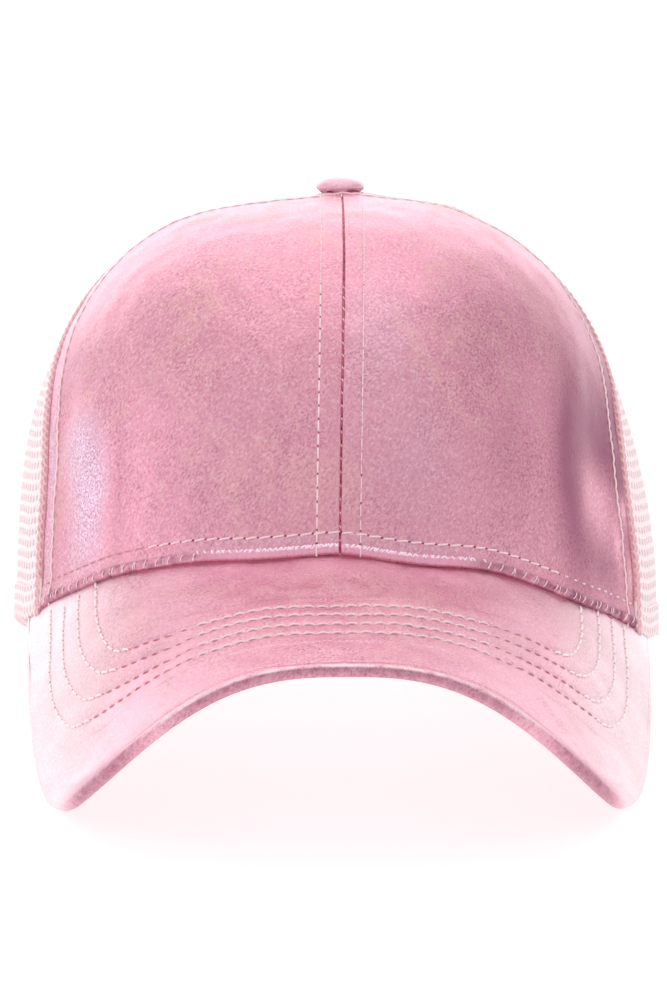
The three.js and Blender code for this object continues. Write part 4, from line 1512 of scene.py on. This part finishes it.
def roundSection(start, end, low, high, steps=10, squareness=2.6):
    middle, half = (start + end) / 2, (end - start) / 2
    level, reach = (low + high) / 2, (high - low) / 2
    section = []
    for k in range(steps * 2):
        swing = math.pi * k / steps
        across = math.copysign(abs(math.cos(swing)) ** (2 / squareness), math.cos(swing))
        along = math.copysign(abs(math.sin(swing)) ** (2 / squareness), math.sin(swing))
        section.append((middle + half * across, level + reach * along))
    return section


def addSeams():
    make = seamMake
    chains, overlocks = [], []
    for seamName, plan in seamPlans.items():
        climb = np.linspace(plan["from"], make["upTo"], plan["steps"])
        threaded = climb[:-make["threadEndsBefore"]]
        sunk = make["threadSinks"] * (1 - standingOut(threaded))
        core = (-make["coreHalf"], make["coreHalf"], plan["depth"], plan["depth"] + make["coreThick"])
        hands = {"": 1} if seamName.endswith("Centre") else {"Left": 1, "Right": -1}
        for hand, side in hands.items():
            label = seamName + hand
            seamBarFrom(label + "Core", seamName, side, roundSection(*core), plan["core"], climb)
            for number, (start, end) in enumerate(plan["bands"]):
                section = roundSection(start, end, -make["edgeProud"], make["edgeInside"])
                seamBarFrom(f"{label}Edge{number + 1}", seamName, side, section, "netTape", climb)
                for share in make["chainsAt"]:
                    depth = sunk - make["edgeProud"] * make["chainProud"]
                    chains.append(seamPoint(seams[seamName], side, mix(start, end, share), threaded, depth))
                outside = end if end > 0 else start
                depth = sunk - make["overlockProud"]
                overlocks.append(seamPoint(seams[seamName], side, outside, threaded, depth))
    stitchLines("netEdgeChains", chains, "chain", "chain", "cotton_tape")
    stitchLines("netEdgeOverlock", overlocks, "overlock", "overlock", "cotton_tape")
    climb = np.linspace(0, make["upTo"], seamPlans["frontCentre"]["steps"])
    centre = [seamPoint(seams["frontCentre"], 1, 0, climb, make["centreThreadDepth"])]
    stitchLines("centreSeamThread", centre, "seam", "seamThread", "coated_leather")
    stitchLines("centreSeamSpecks", [lowerPart(line) for line in centre], "speck", "thread", "coated_leather")


def standingOut(climb):
    return 1 - seamMake["flatShare"] * smoothstep(climb, *seamMake["flattens"])


def seamBarFrom(name, seamName, side, section, material, climb):
    rings = []
    for offset, depth in section:
        depths = depth * standingOut(climb) if depth < 0 else depth
        rings.append(seamPoint(seams[seamName], side, offset, climb, depths)[0])
    slot = "coated_leather" if material == "needleHole" else "cotton_tape"
    sweptBar(name, rings, -side, material, slot)


# A thin dark crimson bar closes the gap between the front panels and the peak; its colour is painted
# shade for the junction. Its section runs from the first to the second number outwards and from the
# third to the fourth upwards, from the panels' foot.
junctionBarSection = (-0.75, -0.1, -0.65, -0.1)


def rimJunctionBar():
    for label, rows, side in (("Left", leftRows, 1), ("Right", rightRows, -1)):
        spots, facing = rows["foot"]
        rings = []
        for out, rising in roundSection(*junctionBarSection, 5, 2):
            rings.append(spots + facing * out + np.array([0, 0, rising]))
        sweptBar("rimJunctionBar" + label, rings, side, "seamThread", "coated_leather")


addSeams()
rimJunctionBar()
print("seams made")


# Button: a leather-covered dome, gathered under its edge and pinched over the front seam.

buttonMake = {
    "radius": 6.6,
    "neck": 5.3,  # radius under the gathered side
    "sideHeight": 1.1,
    "domeHeight": 3.0,
    "offset": 1.4,
    "around": 120,
    "sideLevels": 12,
    "domeLevels": 14,
    "gathers": 9,
    "pinch": 0.5,
    "pinchWidth": 0.22,
    "loose": 0.25,  # how far the gathered side stands out, and how deep its folds are at the neck
    "folds": 0.2,
    "seat": 0.3,
    "rosy": 0.25,
    # Painted light: the dome a little lighter, a painted glint low on its front, painted shade low on the
    # side.
    "domePaintedLight": 0.15,
    "glint": {"tone": 0.6, "at": 0.08, "height": 0.12, "turn": 0.1, "width": 0.5},
    "sidePaintedLight": {"top": 0.6, "drop": 1.1, "fades": (0.1, 0.35)},
}


def buttonPiece():
    make = buttonMake
    swing = np.linspace(0, 2 * math.pi, make["around"], endpoint=False)
    toFront = np.angle(np.exp(1j * (swing + math.pi / 2)))
    pinch = make["pinch"] * peaked(toFront, 0, make["pinchWidth"])
    side, glint = make["sidePaintedLight"], make["glint"]
    rings, paintedLights = [], []
    for share in np.linspace(0, 1, make["sideLevels"]):
        loose = math.sin(math.pi * min(share * 1.4, 1)) * make["loose"] + make["folds"] * (1 - share)
        reach = mix(make["neck"], make["radius"], share ** 0.7) + loose * np.cos(swing * make["gathers"])
        hem = make["loose"] * np.cos(swing * make["gathers"]) - pinch
        height = make["sideHeight"] * share + hem * (1 - share)
        rings.append((reach, height))
        paintedLights.append(np.full_like(swing, side["top"] - side["drop"] * fade(share, *side["fades"])))
    for share in np.linspace(0, 1, make["domeLevels"])[1:]:
        reach = make["radius"] * math.cos(share * math.pi / 2) ** 0.9
        height = make["sideHeight"] + make["domeHeight"] * math.sin(share * math.pi / 2)
        rings.append((np.full_like(swing, reach), np.full_like(swing, height)))
        bright = peaked(share, glint["at"], glint["height"]) * peaked(toFront, glint["turn"], glint["width"])
        paintedLights.append(make["domePaintedLight"] + glint["tone"] * bright)
    around = np.stack([np.cos(swing), np.sin(swing)], -1)
    points = np.array([np.column_stack([reach[:, None] * around, height]) for reach, height in rings])
    rows, columns = points.shape[:2]
    corner = cornerGrid(rows, columns)
    faces = quads(np.concatenate([corner, corner[:, :1]], 1)).tolist()
    faces.append(corner[0, ::-1].tolist())
    place = np.array([make["offset"], crown["apexBack"], crown["height"] + crown["tipRise"] - make["seat"]])
    made = meshObject("topButtonCover", points.reshape(-1, 3) + place, faces, [finishes["peakLeather"]])
    paint(made, np.full(rows * columns, make["rosy"]), "rosy")
    paint(made, np.array(paintedLights))
    closeMesh(made.data)
    addPiece(made, "coated_leather", "top_button")


# Joins the points that meet at the dome's top.
def closeMesh(mesh):
    sheet = bmesh.new()
    sheet.from_mesh(mesh)
    bmesh.ops.remove_doubles(sheet, verts=sheet.verts, dist=1e-7)
    loose = [vert for vert in sheet.verts if not vert.link_faces]
    bmesh.ops.delete(sheet, geom=loose, context="VERTS")
    bmesh.ops.recalc_face_normals(sheet, faces=sheet.faces)
    sheet.to_mesh(mesh)
    sheet.free()


buttonPiece()
print("button made")


# Sweatband, arch binding and strap.

bandMake = {
    "threadsAt": (0.1, 0.9),  # shares up the sweatband
    "threadProud": 0.05,
    "footSteps": 6,
    "bindingRowInset": 1.3,
    "bindingRowProud": 0.85,
    "sweatDepth": 3.7,
    "sweatWall": 1.4,
    "sweatHeight": 30,
    "sweatEndSpan": 54,
    "sweatColumns": 260,
    "archSteps": 110,
    "bindingProud": 0.6,
    "bindingInside": 1.9,
    "strapHalfSpan": 52,
    "strapHeight": 18,
    "strapWall": 1.5,
    "strapColumns": 120,
}


def sweatbandPiece():
    make = bandMake
    endTurn = math.pi - math.asin(make["sweatEndSpan"] / crown["halfWidth"])
    turn = np.linspace(-endTurn, endTurn, make["sweatColumns"])
    low = tiltAtRim(turn)
    start = crownPoint(turn, low)[:, 2]
    rings = []
    for share, depth in roundSection(0, 1, 0, 1, 12, 5):
        tilt = tiltAtHeight(turn, start + share * make["sweatHeight"])
        inset = make["sweatDepth"] + depth * make["sweatWall"]
        point = crownPoint(turn, tilt) - crownNormal(turn, tilt) * inset
        lowest = rimHeight(turn, point[:, 0], point[:, 1]) + crown["seamGap"]
        point[:, 2] = mix(lowest, point[:, 2], min(share * 8, 1)) if share < 0.125 else point[:, 2]
        rings.append(point)
    sweptBar("sweatbandWoven", rings, 1, "cotton", "cotton_tape", "sweatband")
    rows = []
    for share in make["threadsAt"]:
        tilt = tiltAtHeight(turn, start + share * make["sweatHeight"])
        normal = crownNormal(turn, tilt)
        rows.append((crownPoint(turn, tilt) - normal * (make["sweatDepth"] - make["threadProud"]), normal))
    stitchLines("sweatbandThread", rows, "tape", "thread", "cotton_tape")


def archLine(grown):
    steps = bandMake["footSteps"]
    swing = np.linspace(0, math.pi, bandMake["archSteps"])
    x = (arch["halfWidth"] + grown) * np.cos(swing)
    z = arch["spring"] + (arch["rise"] + grown) * np.sin(swing)
    foot = floorHeight(np.full(steps, crown["halfLength"] * 0.95))
    down = mix(foot, arch["spring"], np.linspace(0, 1, steps))[:-1]
    x = np.concatenate([np.full(steps - 1, x[0]), x, np.full(steps - 1, x[-1])])
    z = np.concatenate([down, z, down[::-1]])
    return x, z


def onFloor(point):
    floor = floorHeight(point[:, 1])
    point[:, 2] = np.where(point[:, 2] < floor, floor, point[:, 2])
    return point


def archBindingPiece():
    make = bandMake
    rings = []
    section = roundSection(0, arch["bindingWidth"], -make["bindingProud"], make["bindingInside"], 10, 3.5)
    for grown, depth in section:
        x, z = archLine(grown)
        rings.append(onFloor(backPoint(x, z, depth)))
    sweptBar("archBinding", rings, 1, "cotton", "cotton_tape", "arch_binding")
    rows = []
    inset = make["bindingRowInset"]
    for grown in (inset, arch["bindingWidth"] - inset):
        x, z = archLine(grown)
        places = backPoint(x, z, -make["bindingProud"] * make["bindingRowProud"])
        rows.append((places, unit(places - backPoint(x, z, 1.0))))
    stitchLines("archBindingThread", rows, "tape", "thread", "cotton_tape")


def strapPiece():
    make = bandMake
    x = np.linspace(make["strapHalfSpan"], -make["strapHalfSpan"], make["strapColumns"])
    outer = crown["netWall"] + crown["seamGap"]
    rings = []
    for share, depth in roundSection(0, 1, 0, 1, 12, 5):
        point = backPoint(x, np.zeros_like(x), outer + depth * make["strapWall"])
        point[:, 2] = floorHeight(point[:, 1]) + share * make["strapHeight"]
        rings.append(point)
    sweptBar("backStrap", rings, 1, "plastic", "strap_plastic", "back_strap")


sweatbandPiece()
archBindingPiece()
strapPiece()
print("bands and strap made")


# Camera, lights and floor.

view = {
    "azimuth": -0.85,  # degrees round from straight ahead
    "elevation": 14.8,
    "distance": 1800,
    "focal": 236.93,
    "target": (0, 35.68, 56.04),
    "shiftRight": -0.683,
    "shiftUp": -3.88,
}


def addCamera():
    azimuth, elevation = math.radians(view["azimuth"]), math.radians(view["elevation"])
    forward = np.array([
        -math.sin(azimuth) * math.cos(elevation),
        math.cos(azimuth) * math.cos(elevation),
        -math.sin(elevation),
    ])
    right = np.array([math.cos(azimuth), math.sin(azimuth), 0])
    up = np.cross(right, forward)
    aim = np.array(view["target"]) + right * view["shiftRight"] + up * view["shiftUp"]
    eye = (aim - forward * view["distance"]) / 1000
    data = bpy.data.cameras.new("camera")
    data.lens = view["focal"]
    data.sensor_width = 36
    data.clip_end = 50
    camera = addObject("camera", data)
    turned = Matrix(np.stack([right, up, -forward], -1).tolist()).to_4x4()
    camera.matrix_world = Matrix.Translation(Vector(eye)) @ turned
    bpy.context.scene.camera = camera


# Lamps, with places and sizes in metres and a cool white on both sides.
lamps = {
    "columns": ("place", "aim", "size", "power", "colour"),
    "rows": {
        "overhead": ((0, 0.5, 1.8), (0, 0, 0), (2.4, 1.8), 9, (1, 1, 1)),
        "stripLeft": ((-1.4, 0, 0.35), (0, 0, 0.06), (0.3, 0.8), 1.2, (0.96, 0.92, 1)),
        "stripRight": ((1.4, 0.24, 0.5), (0, 0, 0.06), (0.25, 0.6), 0.8, (0.96, 0.92, 1)),
    },
}


def addArea(name, place, aim, size, power, colour):
    data = bpy.data.lights.new(name, "AREA")
    data.shape = "RECTANGLE"
    data.size, data.size_y = size
    data.energy = power
    data.color = colour
    light = addObject(name, data)
    light.location = place
    facing = Vector(aim) - Vector(place)
    light.rotation_euler = facing.to_track_quat("-Z", "Y").to_euler()


table = {"reach": 6, "shade": (0.42, 0.42, 0.42, 1), "glow": 0.72}


def addFloor():
    mesh = bpy.data.meshes.new("floor")
    reach = table["reach"]
    corners = [(-reach, -reach, 0), (reach, -reach, 0), (reach, reach, 0), (-reach, reach, 0)]
    mesh.from_pydata(corners, [], [(0, 1, 2, 3)])
    lit = Finish("litTable", {"Roughness": 0.7, "Emission Strength": table["glow"]})
    lit.set(baseColor=table["shade"])
    lit.shader.inputs["Emission Color"].default_value = (1, 1, 1, 1)
    mesh.materials.append(lit.material)
    addObject("floor", mesh)


studio = {
    "front": 0.7,  # how bright the walls are on the camera's side
    "back": 2.2,  # behind the cap
    "above": 0.8,
    "backFrom": 0.5,
    "backUntil": 0.95,
    "aboveFrom": 0.25,
    "aboveUntil": 0.95,
    "sideways": -0.14,  # share by which the wearer's left is brighter
}


def addWorld():
    world = bpy.data.worlds.new("studio")
    world.use_nodes = True
    tree = Tree(world.node_tree)
    direction = tree.node("ShaderNodeTexCoord", output="Generated")
    split = "ShaderNodeSeparateXYZ"
    toLeft, toBack, upward = (tree.node(split, None, {0: direction}, axis) for axis in "XYZ")

    def rising(value, start, end):
        inputs = {"Value": value, "From Min": studio[start], "From Max": studio[end]}
        return tree.node("ShaderNodeMapRange", {"interpolation_type": "SMOOTHSTEP"}, inputs)

    overhead = rising(upward, "aboveFrom", "aboveUntil")
    behind = rising(toBack, "backFrom", "backUntil")
    level = studio["front"] + overhead * (studio["above"] - studio["front"])
    strength = level + behind * (studio["back"] - level) * (1 - overhead * 0.6)
    background = tree.nodes["Background"]
    tree.feed(background.inputs["Color"], (1, 1, 1, 1))
    tree.feed(background.inputs["Strength"], strength * (1 + toLeft * studio["sideways"]))
    bpy.context.scene.world = world


addCamera()
addFloor()
addWorld()
for name, row in lamps["rows"].items():
    addArea(name, **dict(zip(lamps["columns"], row)))
bpy.context.scene.view_settings.view_transform = "Standard"
print("stage set")
